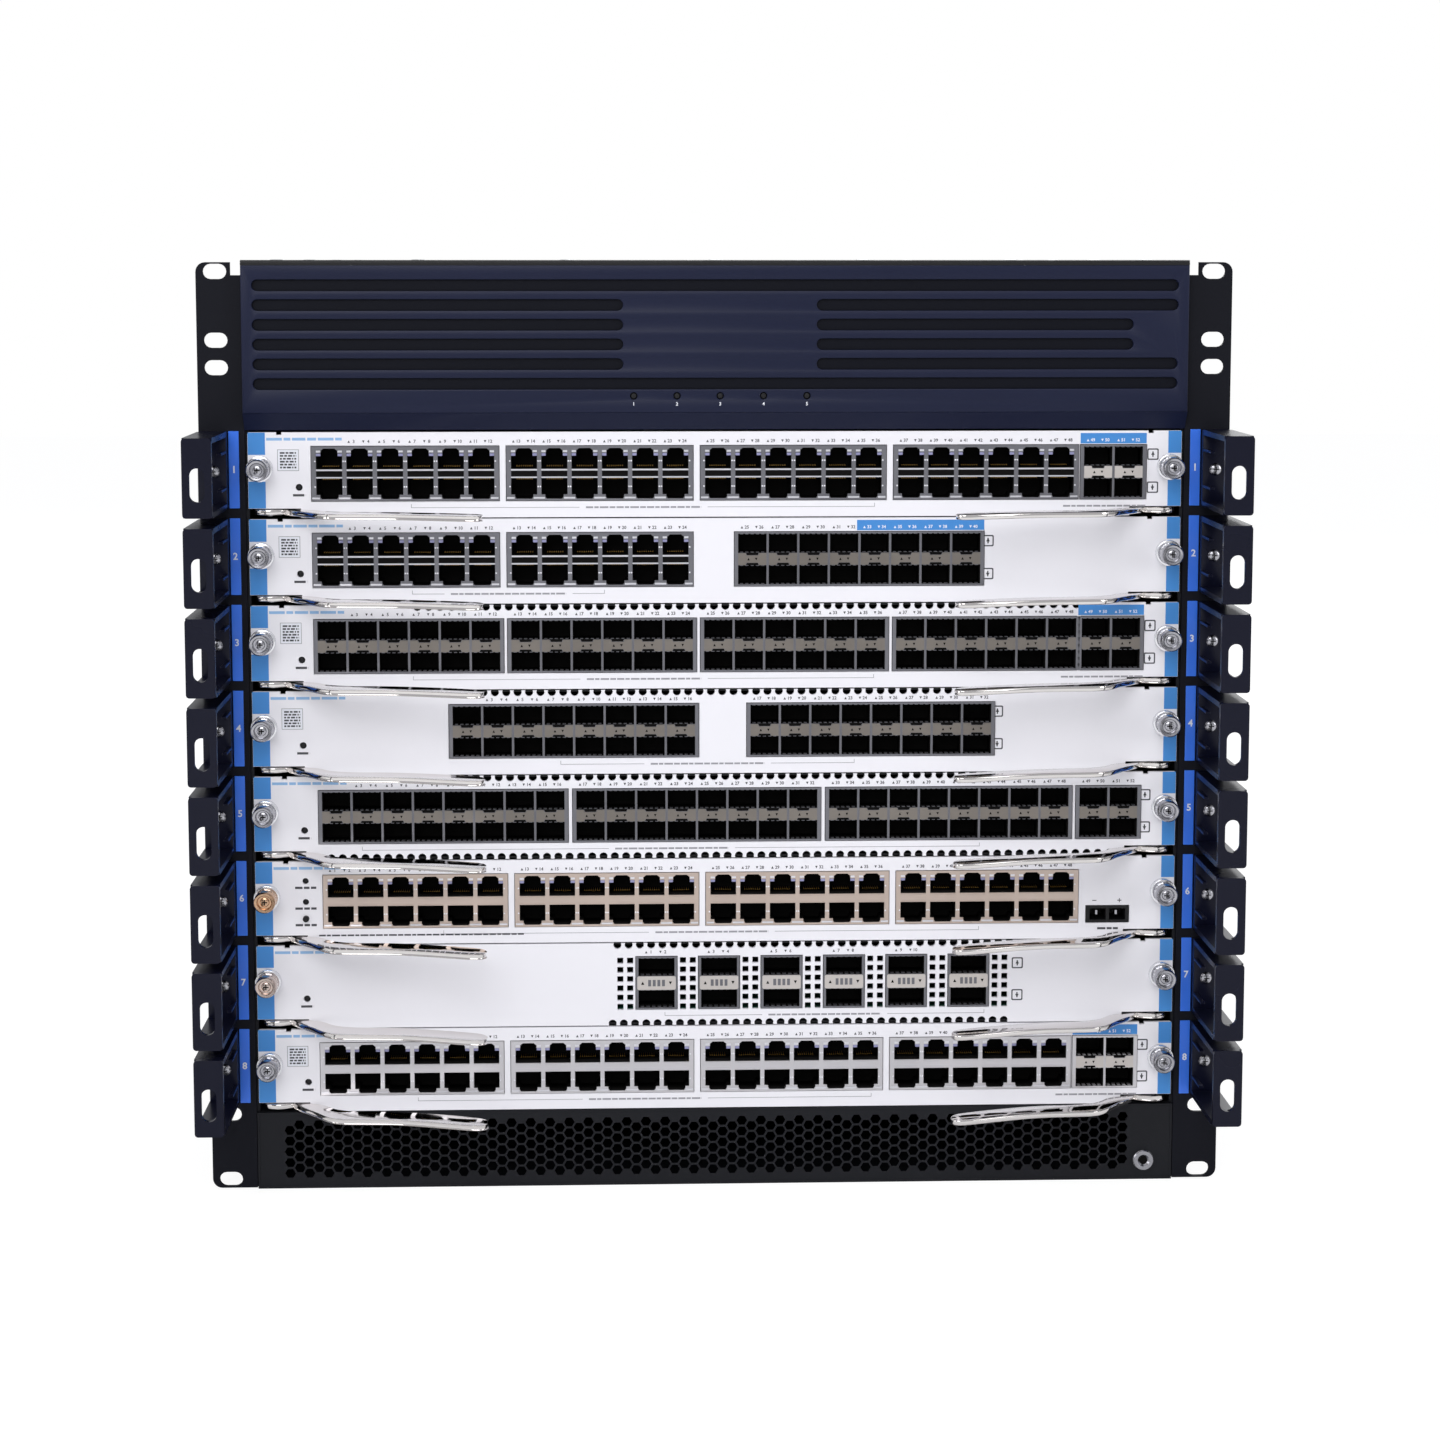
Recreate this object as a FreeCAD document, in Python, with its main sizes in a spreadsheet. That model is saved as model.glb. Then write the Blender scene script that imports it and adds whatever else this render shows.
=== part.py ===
"""Modular chassis switch: a ten-unit rack chassis with eight line cards, built as a parametric document."""

import FreeCAD, Part
import Sketcher
import math
import os
import re

doc = FreeCAD.newDocument("ModularChassisSwitch")

# Millimetres. The origin is on the underside, at mid width, in the plane where the ears
# meet the rack's posts. X runs to the right seen from the front, Y towards the back, Z up.
sizes = {
    # chassis
    "bodyWidth": 440, "bodyHeight": 442, "bodyDepth": 525, "sheetGauge": 1.5, "frontGap": 0.3,
    "rearBay": 122, "supplyBay": 88, "freeGap": 0.3,
    # rack ears
    "earReach": 21.3, "earGauge": 2, "earBottom": 0.7, "earTop": 1, "earLeg": 30,
    "slotInset": 8.75, "slotLength": 11, "slotHeight": 7, "firstSlot": 4.95, "unitPitch": 31.75,
    "slotPair": 12.7, "lastSlot": 5.25,
    # rows of cards
    "cardBase": 37.8, "rowGap": 0.34, "panelInset": 1.3, "panelGauge": 2,
    "notchWidth": 24.3, "notchHeight": 4.4, "keyWidth": 2.5, "keyDepth": 1.2, "keyInset": 15.8,
    # port cages
    "bandLow": 7.8, "bandHeight": 25.6, "windowGap": 0.3, "cageProud": 0.3, "cageDepth": 45,
    "cageWall": 1.2, "groupFirst": 30.7, "groupPitch": 90.7, "poeShift": 2.5, "jackPitch": 14.15,
    "jackBar": 2.4,
    "portDepth": 14, "barDepth": 2, "cagePitch": 14.42, "stripHeight": 4.6, "bladeGauge": 0.8,
    "pairStart": 390.9, "octetStart": 228.1, "middleStart": 93.5, "middlePitch": 140.5,
    "octetFirst": 31.6, "octetPitch": 119.9, "quadStart": 181.2, "quadPitch": 29.87, "quadWidth": 19.6,
    "quadStrip": 6.2, "portMargin": 17,
    "inletInset": 43.5, "inletWidth": 20.5, "inletLow": 7.8, "inletHeight": 8,
    # boards
    "boardGauge": 1.6, "boardInset": 2.8, "boardBack": 18, "plugWidth": 62, "plugHeight": 14,
    "plugDepth": 18, "plugProud": 6, "plugPitch": 130, "sinkWidth": 90, "sinkDepth": 80, "sinkBase": 4,
    "finHeight": 14, "finPitch": 22, "finGauge": 2, "sinkFront": 150,
    # ejector levers
    "pivotInset": 10.5, "pivotBack": 4.5, "pinRadius": 2, "runningGap": 0.05, "collarRadius": 3.5,
    "pinDrop": 6, "rootRadius": 8.5, "leverLift": 1.4, "leverGauge": 2.5, "leverWidth": 12,
    "leverRise": 32.5, "tipRise": 45.5, "bendStart": 30.5, "flareStart": 58.5, "leverLength": 101.5,
    "throatReach": 14.3, "throatFront": 6.5, "collarGap": 0.1,
    # thumbscrews
    "screwInset": 6.9, "screwLift": 23, "screwRadius": 2, "knobRadius": 5.1, "knobLength": 13,
    "recessRadius": 1.9, "recessDepth": 3, "screwLength": 8,
    "tabReach": 11.5, "tabHeight": 10,
    # card runners
    "runnerReach": 3, "runnerHeight": 2, "runnerStart": 25, "runnerGap": 0.2,
    # top bezel
    "bezelHeight": 79.08, "bezelGap": 0.38, "bezelProud": 8, "bezelFace": 70.6, "bezelBevel": 1.2,
    "bezelWall": 2.5, "grooveDepth": 1.5, "grooveRadius": 2.65, "grooveTop": 11.6, "groovePitch": 9.1,
    "grooveInset": 5, "badgeWidth": 20.9, "nameLeft": -43.8, "nameRight": 46.1,
    # intake panel
    "intakeGap": 0.5, "meshLow": 6, "meshPitch": 13.5, "meshStep": 15.6,
    "meshFlat": 12.4, "meshInset": 22, "jackInset": 14, "jackLift": 9.5, "ringRadius": 5.1,
    "boreRadius": 2.05, "ringProud": 1.2, "jackLength": 15,
    # cable guides
    "guideWidth": 13.4, "guideLift": 4.6, "guideHeight": 36, "guideReach": 55, "guideWall": 2.5,
    "guideBase": 5, "loopSlotLift": 19.5, "loopSlotHeight": 15.3, "loopSlotRadius": 3.5,
    # mode button
    "buttonInset": 25, "buttonLift": 12.5, "buttonRadius": 1.5, "buttonProud": 1.4, "buttonStem": 8,
    "buttonFlange": 1, "buttonTravel": 1, "switchDepth": 6,
    # fan tray
    "trayInset": 3, "trayLift": 4, "trayGauge": 2, "boreFan": 112, "shroudHalf": 125,
    "shroudDepth": 60, "spokeWidth": 12, "motorRadius": 38, "motorDepth": 14, "hubRadius": 42,
    "hubLength": 36, "bladeGap": 6, "bladeThick": 3, "bladePitch": 36, "rootChord": 34, "tipChord": 52,
    "bladeRoot": 4, "axleRadius": 4, "axleLength": 10, "rotorGap": 1,
    # power supplies
    "supplyGap": 3, "supplyRoom": 2.5, "supplyDepth": 112, "gripReach": 14,
    "gripWidth": 60, "gripBar": 3, "gripLift": 14, "socketWidth": 28, "socketHeight": 22, "socketHole": 12,
    "socketDrop": 12,
}

sheet = doc.addObject("Spreadsheet::Sheet", "Dims")
for line, (word, value) in enumerate(sizes.items(), start=1):
    sheet.set(f"A{line}", word)
    sheet.set(f"B{line}", str(value))
    sheet.setAlias(f"B{line}", word)
doc.recompute()

# Places and sizes that follow from the ones above, as expressions.
derived = {
    "rowPitch": "((bodyHeight - cardBase - bezelHeight) / 8)",
    "panelHeight": "((bodyHeight - cardBase - bezelHeight) / 8 - rowGap)",
    "panelWidth": "(bodyWidth - 2 * panelInset)",
    "boardHalf": "(bodyWidth / 2 - boardInset)",
    "shelfDepth": "(bodyDepth - rearBay)",
    "boardDepth": "(bodyDepth - rearBay - boardBack)",
    "rackSpan": "(bodyWidth + 2 * earReach)",
    "earHeight": "(bodyHeight - earBottom - earTop)",
    "pivotSide": "(bodyWidth / 2 - pivotInset)",
    "screwSide": "(bodyWidth / 2 - screwInset)",
    "keyOffset": "(bodyWidth / 2 - keyInset)",
    "bezelLow": "(bodyHeight - bezelHeight + bezelGap)",
    "bezelBend": "(bodyHeight - bezelFace)",
    "grooveEnd": "(bodyWidth / 2 - grooveInset)",
    "intakeHeight": "(cardBase - intakeGap)",
    "jackSide": "(bodyWidth / 2 - jackInset)",
    "guideInner": "(bodyWidth / 2 + earReach - guideWidth)",
    "buttonSide": "(buttonInset - bodyWidth / 2)",
    "fanLift": "((supplyBay + bodyHeight) / 2)",
    "supplyPitch": "((bodyWidth - 2 * sheetGauge) / 4)",
    "supplyWidth": "((bodyWidth - 2 * sheetGauge) / 4 - supplyGap)",
    "supplyHeight": "(supplyBay - sheetGauge - supplyRoom)",
}

ROWS = range(1, 9)
SIDES = {"left": -1, "right": 1}
nodes = {}


def cells(text):
    """Points each word of an expression at its cell, or at the cells that it follows from."""
    text = re.sub(r"[A-Za-z]\w*", lambda word: derived.get(word.group(0), word.group(0)), text)
    return re.sub(r"[A-Za-z]\w*", lambda word: "Dims." + word.group(0), text)


def number(text):
    """What an expression comes to with the present sizes."""
    return float(sheet.evalExpression(cells(text)))


def row_low(row):
    """The underside of a row; row 1 is the top one."""
    return f"(cardBase + {8 - row} * rowPitch)"


def keep(node, solid):
    solid.Label = node
    nodes[node] = solid
    return solid


def place(solid, spot):
    for axis, text in zip("xyz", spot):
        solid.setExpression(f"Placement.Base.{axis}", cells(text))
    return solid


def box(name, low, size):
    solid = doc.addObject("Part::Box", name)
    for side, text in zip(("Length", "Width", "Height"), size):
        solid.setExpression(side, cells(text))
    return place(solid, low)


def turned(solid, along):
    """Lays a solid made along Z along Y instead."""
    if along == "y":
        solid.Placement.Rotation = FreeCAD.Rotation(FreeCAD.Vector(1, 0, 0), -90)
    return solid


def rod(name, start, radius, length, along="z"):
    solid = turned(doc.addObject("Part::Cylinder", name), along)
    solid.setExpression("Radius", cells(radius))
    solid.setExpression("Height", cells(length))
    return place(solid, start)


def prism(name, start, count, radius, length, along="z"):
    solid = turned(doc.addObject("Part::Prism", name), along)
    solid.Polygon = count
    solid.setExpression("Circumradius", cells(radius))
    solid.setExpression("Height", cells(length))
    return place(solid, start)


def screw_hole(name, sign, row, front, depth):
    """A faceted hole that the screw's faceted shank runs in, flat to flat."""
    spot = (f"{sign} * screwSide", front, f"{row_low(row)} + screwLift")
    return prism(name, spot, 8, f"(screwRadius + runningGap) * {1 / math.cos(math.pi / 8):.5f}", depth, "y")


def fuse(name, solids):
    joined = doc.addObject("Part::MultiFuse", name)
    joined.Shapes = solids
    joined.Refine = True
    return joined


def cut(name, base, tools):
    result = doc.addObject("Part::Cut", name)
    result.Base = base
    result.Tool = tools[0] if len(tools) == 1 else group(name + "_tools", tools)
    result.Refine = True
    return result


def group(name, solids):
    several = doc.addObject("Part::Compound", name)
    several.Links = solids
    return several


def sketch_on(body, name, role):
    sketch = body.newObject("Sketcher::SketchObject", name)
    plane = [item for item in body.Origin.OriginFeatures if item.Role == role][0]
    sketch.AttachmentSupport = [(plane, "")]
    sketch.MapMode = "FlatFace"
    return sketch


def pin_point(sketch, curve, end, spot):
    """Holds one point of a sketch at a place given by two expressions."""
    for kind, text in zip(("DistanceX", "DistanceY"), spot):
        index = sketch.addConstraint(Sketcher.Constraint(kind, -1, 1, curve, end, number(text)))
        word = f"{kind}{curve}p{end}"
        sketch.renameConstraint(index, word)
        sketch.setExpression(f"Constraints.{word}", cells(text))


def add_outline(sketch, points):
    """A closed outline of straight lines, each corner held by its own two sizes."""
    corners = [FreeCAD.Vector(number(x), number(y), 0) for x, y in points]
    first = sketch.GeometryCount
    for here, there in zip(corners, corners[1:] + corners[:1]):
        sketch.addGeometry(Part.LineSegment(here, there), False)
    for index, point in enumerate(points):
        curve = first + index
        following = first + (index + 1) % len(points)
        sketch.addConstraint(Sketcher.Constraint("Coincident", curve, 2, following, 1))
        pin_point(sketch, curve, 1, point)


def add_slot(sketch, start, stop, height, radius):
    """A level slot with round ends, from start to stop, end to end."""
    left = FreeCAD.Vector(number(f"{start} + {radius}"), number(height), 0)
    right = FreeCAD.Vector(number(f"{stop} - {radius}"), number(height), 0)
    size = number(radius)
    up = FreeCAD.Vector(0, size, 0)
    axis = FreeCAD.Vector(0, 0, 1)
    quarter = math.pi / 2
    first = sketch.GeometryCount
    sketch.addGeometry(Part.ArcOfCircle(Part.Circle(left, axis, size), quarter, 3 * quarter), False)
    sketch.addGeometry(Part.LineSegment(left - up, right - up), False)
    sketch.addGeometry(Part.ArcOfCircle(Part.Circle(right, axis, size), -quarter, quarter), False)
    sketch.addGeometry(Part.LineSegment(right + up, left + up), False)
    for index in range(4):
        here = first + index
        following = first + (index + 1) % 4
        sketch.addConstraint(Sketcher.Constraint("Tangent", here, 2, following, 1))
    sketch.addConstraint(Sketcher.Constraint("Equal", first, first + 2))
    index = sketch.addConstraint(Sketcher.Constraint("Radius", first, size))
    sketch.renameConstraint(index, f"round{first}")
    sketch.setExpression(f"Constraints.round{first}", cells(radius))
    pin_point(sketch, first, 3, (f"{start} + {radius}", height))
    across = sketch.addConstraint(Sketcher.Constraint("DistanceX", -1, 1, first + 2, 3, right.x))
    sketch.renameConstraint(across, f"far{first}")
    sketch.setExpression(f"Constraints.far{first}", cells(f"{stop} - {radius}"))


def pad(body, sketch, length, backwards=False, midplane=False):
    feature = body.newObject("PartDesign::Pad", sketch.Name + "_pad")
    feature.Profile = sketch
    feature.setExpression("Length", cells(length))
    feature.Reversed = backwards
    feature.Midplane = midplane
    return feature


def pocket(body, sketch, length, backwards=False):
    """Cuts a sketch into its body and makes sure that something went."""
    before = body.Shape.Volume
    feature = body.newObject("PartDesign::Pocket", sketch.Name + "_pocket")
    feature.Profile = sketch
    feature.setExpression("Length", cells(length))
    feature.Reversed = backwards
    doc.recompute()
    if body.Shape.Volume >= before:
        raise RuntimeError(f"{feature.Name} cuts nothing")
    return feature


def new_body(node):
    return keep(node, doc.addObject("PartDesign::Body", node))


def chassis_shell():
    """The folded sheet-metal case: an open tube with two shelves, card runners and screw tabs."""
    outer = box("shell_outer", ("-bodyWidth / 2", "frontGap", "0"),
                ("bodyWidth", "bodyDepth - frontGap", "bodyHeight"))
    inside = "bodyWidth - 2 * sheetGauge"
    start = "sheetGauge - bodyWidth / 2"
    bays = {
        "lower": ("sheetGauge", "cardBase - freeGap - 2 * sheetGauge"),
        "card": ("cardBase - freeGap", "8 * rowPitch + 2 * freeGap"),
        "upper": ("bezelLow + 2", "bodyHeight - bezelLow - 2 - sheetGauge"),
    }
    rear_bays = {
        "supply": ("sheetGauge", "supplyBay - sheetGauge"),
        "fan": ("supplyBay + sheetGauge", "bodyHeight - supplyBay - 2 * sheetGauge"),
    }
    hollows = []
    for name, (low, height) in bays.items():
        hollows.append(box(f"bay_{name}", (start, "0", low), (inside, "shelfDepth + 1", height)))
    for name, (low, height) in rear_bays.items():
        hollows.append(box(f"bay_{name}", (start, "shelfDepth", low), (inside, "bodyDepth", height)))
    case = cut("shell_case", outer, hollows)
    fittings = []
    for side, sign in SIDES.items():
        for row in ROWS:
            board_low = f"{row_low(row)} + bandLow - boardGauge"
            wall = "bodyWidth / 2 - sheetGauge"
            low_x = f"{wall} - runnerReach" if sign > 0 else f"-{wall.replace('- sheet', '+ sheet')}"
            length = "shelfDepth - 2 * boardGauge - freeGap - runnerStart"
            fittings.append(box(f"runner_{side}_{row}",
                                (low_x, "runnerStart", f"{board_low} - runnerGap - runnerHeight"),
                                ("runnerReach", length, "runnerHeight")))
            tab_x = f"{wall} - tabReach" if sign > 0 else f"-{wall.replace('- sheet', '+ sheet')}"
            tab = box(f"tab_{side}_{row}",
                      (tab_x, "frontGap", f"{row_low(row)} + screwLift - tabHeight / 2"),
                      ("tabReach", "sheetGauge", "tabHeight"))
            hole = screw_hole(f"tab_hole_{side}_{row}", sign, row, "-sheetGauge", "4 * sheetGauge")
            fittings.append(cut(f"tapped_tab_{side}_{row}", tab, [hole]))
    keep("chassis_shell", fuse("chassis_shell", [case] + fittings))


def rack_ears():
    """The two angle brackets that bolt the chassis to a rack's posts."""
    ears = []
    for side, sign in SIDES.items():
        body = doc.addObject("PartDesign::Body", f"ear_{side}")
        plan = sketch_on(body, f"ear_plan_{side}", "XY_Plane")
        inner = f"{sign} * bodyWidth / 2"
        leg = f"{sign} * (bodyWidth / 2 + earGauge)"
        outer = f"{sign} * rackSpan / 2"
        add_outline(plan, [(inner, "-earGauge"), (outer, "-earGauge"), (outer, "0"), (leg, "0"),
                           (leg, "earLeg"), (inner, "earLeg")])
        pad(body, plan, "earHeight")
        doc.recompute()
        face = sketch_on(body, f"ear_face_{side}", "XZ_Plane")
        left = f"({sign} * (rackSpan / 2 - slotInset) - slotLength / 2)"
        right = f"({sign} * (rackSpan / 2 - slotInset) + slotLength / 2)"
        last = "bodyHeight - lastSlot"
        for height in ["firstSlot", "firstSlot + unitPitch", f"{last} - unitPitch - slotPair",
                       f"{last} - unitPitch", last]:
            add_slot(face, left, right, f"{height} - earBottom", "slotHeight / 2")
        pocket(body, face, "2 * earGauge", backwards=True)
        place(body, ("0", "0", "earBottom"))
        ears.append(body)
    keep("rack_ears", group("rack_ears", ears))


def groove_outline(start, stop, middle):
    """A long level groove from start to stop, each end rounded off in flats."""
    reach = "grooveRadius"
    flat = "grooveRadius * 0.4"
    shoulder = "grooveRadius * 0.6"
    first, last = f"{start} + {shoulder}", f"{stop} - {shoulder}"
    low, high = f"{middle} - {reach}", f"{middle} + {reach}"
    return [(first, low), (last, low), (stop, f"{middle} - {flat}"), (stop, f"{middle} + {flat}"),
            (last, high), (first, high), (start, f"{middle} + {flat}"), (start, f"{middle} - {flat}")]


def top_bezel():
    """The moulded front cover: grooved face, hollow behind."""
    body = new_body("top_bezel")
    side = sketch_on(body, "bezel_side", "YZ_Plane")
    add_outline(side, [("frontGap", "bezelLow"), ("-panelGauge", "bezelLow"), ("-bezelProud", "bezelBend"),
                       ("-bezelProud", "bodyHeight - bezelBevel"),
                       ("bezelBevel - bezelProud", "bodyHeight"), ("frontGap", "bodyHeight")])
    pad(body, side, "bodyWidth", midplane=True)
    doc.recompute()
    back = sketch_on(body, "bezel_hollow", "XZ_Plane")
    back.setExpression("AttachmentOffset.Base.z", cells("-frontGap"))
    edge = "(bodyWidth / 2 - bezelWall)"
    add_outline(back, [(f"-{edge}", "bezelBend + bezelWall"), (edge, "bezelBend + bezelWall"),
                       (edge, "bodyHeight - bezelWall"), (f"-{edge}", "bodyHeight - bezelWall")])
    pocket(body, back, "frontGap + bezelProud - bezelWall", backwards=True)
    front = sketch_on(body, "bezel_grooves", "XZ_Plane")
    front.setExpression("AttachmentOffset.Base.z", cells("bezelProud"))
    full = [("-grooveEnd", "grooveEnd")]
    broken = [("-grooveEnd", "nameLeft"), ("nameRight", "grooveEnd")]
    badge = [("-grooveEnd", "nameLeft"), ("nameRight", "grooveEnd - badgeWidth")]
    for index, stretches in enumerate([full, broken, badge, badge, broken, full]):
        for start, stop in stretches:
            middle = f"(bodyHeight - grooveTop - {index} * groovePitch)"
            add_outline(front, groove_outline(start, stop, middle))
    pocket(body, front, "grooveDepth")


def intake_grille():
    """The air intake below the cards: a folded panel with a field of hexagonal holes."""
    width = "bodyWidth - 2 * freeGap"
    panel = box("intake_panel", ("freeGap - bodyWidth / 2", "-panelGauge", "0"),
                (width, "panelGauge + frontGap", "intakeHeight"))
    room = number("jackSide - ringRadius - meshFlat / 2 - meshInset + bodyWidth / 2")
    columns = int(room / sizes["meshStep"]) + 1
    holes = []
    for column in range(columns):
        for level in range(2 if column % 2 == 0 else 1):
            lift = f"meshLow + meshPitch * {0.62 + level + 0.5 * (column % 2):.2f}"
            spot = (f"meshInset - bodyWidth / 2 + {column} * meshStep", "-2 * panelGauge", lift)
            holes.append(prism(f"mesh_{column}_{level}", spot, 6, "meshFlat * 0.57735",
                               "4 * panelGauge", "y"))
    bore = prism("intake_jack_hole", ("jackSide", "-2 * panelGauge", "jackLift"), 12,
                 "ringRadius - ringProud + runningGap", "4 * panelGauge", "y")
    keep("intake_grille", cut("intake_grille", panel, holes + [bore]))
    ring = prism("jack_ring", ("jackSide", "-panelGauge - ringProud", "jackLift"), 16,
                 "ringRadius", "ringProud", "y")
    barrel = prism("jack_barrel", ("jackSide", "-panelGauge", "jackLift"), 12,
                   "ringRadius - ringProud", "panelGauge + jackLength", "y")
    hole = rod("jack_bore", ("jackSide", "-panelGauge - 2 * ringProud", "jackLift"),
               "boreRadius", "jackLength", "y")
    keep("esd_jack", cut("esd_jack", fuse("jack_outer", [ring, barrel]), [hole]))


def cable_guides():
    """Loops beside each row that lead its cables outwards, with a tie slot in the front plate."""
    width = "(rackSpan / 2 - guideInner)"
    for side, sign in SIDES.items():
        loops = []
        inner = "guideInner" if sign > 0 else "-rackSpan / 2"
        middle = f"{sign} * (guideInner + rackSpan / 2) / 2"
        for row in ROWS:
            tag = f"{side}_{row}"
            low = f"{row_low(row)} + guideLift"
            front = "-earGauge - guideReach"
            outer = box(f"guide_block_{tag}", (inner, front, low), (width, "guideReach", "guideHeight"))
            hollow = box(f"guide_hollow_{tag}", (inner, f"{front} + guideWall", f"{low} + guideWall"),
                         (width, "guideReach - guideWall - guideBase", "guideHeight - 2 * guideWall"))
            straight = "(loopSlotHeight - 2 * loopSlotRadius)"
            slot_low = f"{row_low(row)} + loopSlotLift - {straight} / 2"
            slot = box(f"guide_slot_{tag}",
                       (f"{middle} - loopSlotRadius", f"{front} - guideWall", slot_low),
                       ("2 * loopSlotRadius", "3 * guideWall", straight))
            ends = [prism(f"guide_end_{level}_{tag}",
                          (middle, f"{front} - guideWall", f"{slot_low} + {level} * {straight}"),
                          6, "loopSlotRadius", "3 * guideWall", "y") for level in (0, 1)]
            loops.append(cut(f"guide_{tag}", outer, [hollow, fuse(f"guide_oval_{tag}", [slot] + ends)]))
        keep(f"cable_guides_{side}", group(f"cable_guides_{side}", loops))


def port_groups(row):
    """Each group of ports in a row: its kind, its start and how many columns the panel has room for."""
    jacks = [("jack", f"groupFirst + {index} * groupPitch", 6) for index in range(4)]
    pair = [("cage", "pairStart", 2)]
    wanted = {
        1: jacks + pair,
        2: jacks[:2] + [("cage", "octetStart", 8)],
        3: [("cage", start, 6) for kind, start, columns in jacks] + pair,
        4: [("cage", f"middleStart + {index} * middlePitch", 8) for index in range(2)],
        5: [("cage", f"octetFirst + {index} * octetPitch", 8) for index in range(3)] + pair,
        6: [(kind, f"{start} + poeShift", columns) for kind, start, columns in jacks],
        7: [("quad", f"quadStart + {index} * quadPitch", 1) for index in range(6)],
        8: jacks + pair,
    }[row]
    margin = "inletInset" if row == 6 else "portMargin"
    groups = []
    for kind, start, columns in wanted:
        start = f"({start} - bodyWidth / 2)"
        room = number(f"bodyWidth / 2 - {margin} - {start}")
        while columns and number(group_width(kind, columns)) > room:
            columns -= 1
        if columns:
            groups.append((kind, start, columns))
    return groups


def group_width(kind, columns):
    if kind == "quad":
        return f"({columns} * quadWidth)"
    pitch = "jackPitch" if kind == "jack" else "cagePitch"
    return f"({columns} * {pitch} + 2 * cageWall)"


def card_panel(row):
    """A card's front plate, with a window for each group of ports and notched for the levers."""
    low = row_low(row)
    plate = box(f"plate_{row}", ("-panelWidth / 2", "-panelGauge", low),
                ("panelWidth", "panelGauge", "panelHeight"))
    deep = "3 * panelGauge"
    openings = []
    for index, (kind, start, columns) in enumerate(port_groups(row)):
        openings.append(box(f"window_{row}_{index}",
                            (f"{start} - windowGap", "-2 * panelGauge", f"{low} + bandLow - windowGap"),
                            (f"{group_width(kind, columns)} + 2 * windowGap", deep,
                             "bandHeight + 2 * windowGap")))
    for side, sign in SIDES.items():
        corner = "panelWidth / 2 - notchWidth" if sign > 0 else "-panelWidth / 2"
        openings.append(box(f"notch_{row}_{side}", (corner, "-2 * panelGauge", low),
                            ("notchWidth", deep, "notchHeight")))
        openings.append(box(f"key_{row}_{side}",
                            (f"{sign} * keyOffset - keyWidth / 2", "-2 * panelGauge",
                             f"{low} + panelHeight - keyDepth"), ("keyWidth", deep, "keyDepth")))
        openings.append(screw_hole(f"screw_hole_{row}_{side}", sign, row, "-2 * panelGauge", deep))
    if row == 6:
        openings.append(box("inlet_window", ("bodyWidth / 2 - inletInset - windowGap", "-2 * panelGauge",
                                             f"{low} + inletLow - windowGap"),
                            ("inletWidth + 2 * windowGap", deep, "inletHeight + 2 * windowGap")))
        openings.append(prism("button_hole", ("buttonSide", "-2 * panelGauge", f"{low} + buttonLift"), 12,
                              "buttonRadius + 2 * runningGap", deep, "y"))
    keep(f"card_panel_{row}", cut(f"card_panel_{row}", plate, openings))


def port_block(tag, kind, start, columns, low):
    """A metal cage of ports: an open-fronted case, a bar across its mouth, blades between its columns."""
    face = "-panelGauge - cageProud"
    width = group_width(kind, columns)
    case = box(f"case_{tag}", (start, face, f"{low} + bandLow"), (width, "cageDepth", "bandHeight"))
    mouth_low = f"{low} + bandLow + cageWall"
    mouth = box(f"mouth_{tag}", (f"{start} + cageWall", f"{face} - cageProud", mouth_low),
                (f"{width} - 2 * cageWall", "portDepth + cageProud", "bandHeight - 2 * cageWall"))
    bar_height = {"jack": "jackBar", "cage": "stripHeight", "quad": "quadStrip"}[kind]
    bar_low = f"{low} + bandLow + bandHeight / 2 - {bar_height} / 2"
    bar = box(f"bar_{tag}", (f"{start} + cageWall", face, bar_low),
              (f"{width} - 2 * cageWall", "barDepth", bar_height))
    pitch = "jackPitch" if kind == "jack" else "cagePitch"
    blades = [box(f"blade_{tag}_{index}",
                  (f"{start} + cageWall + {index} * {pitch} - bladeGauge / 2", f"{face} + barDepth",
                   mouth_low),
                  ("bladeGauge", "portDepth - barDepth", "bandHeight - 2 * cageWall"))
              for index in range(1, columns)]
    return [cut(f"open_{tag}", case, [mouth]), bar] + blades


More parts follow.
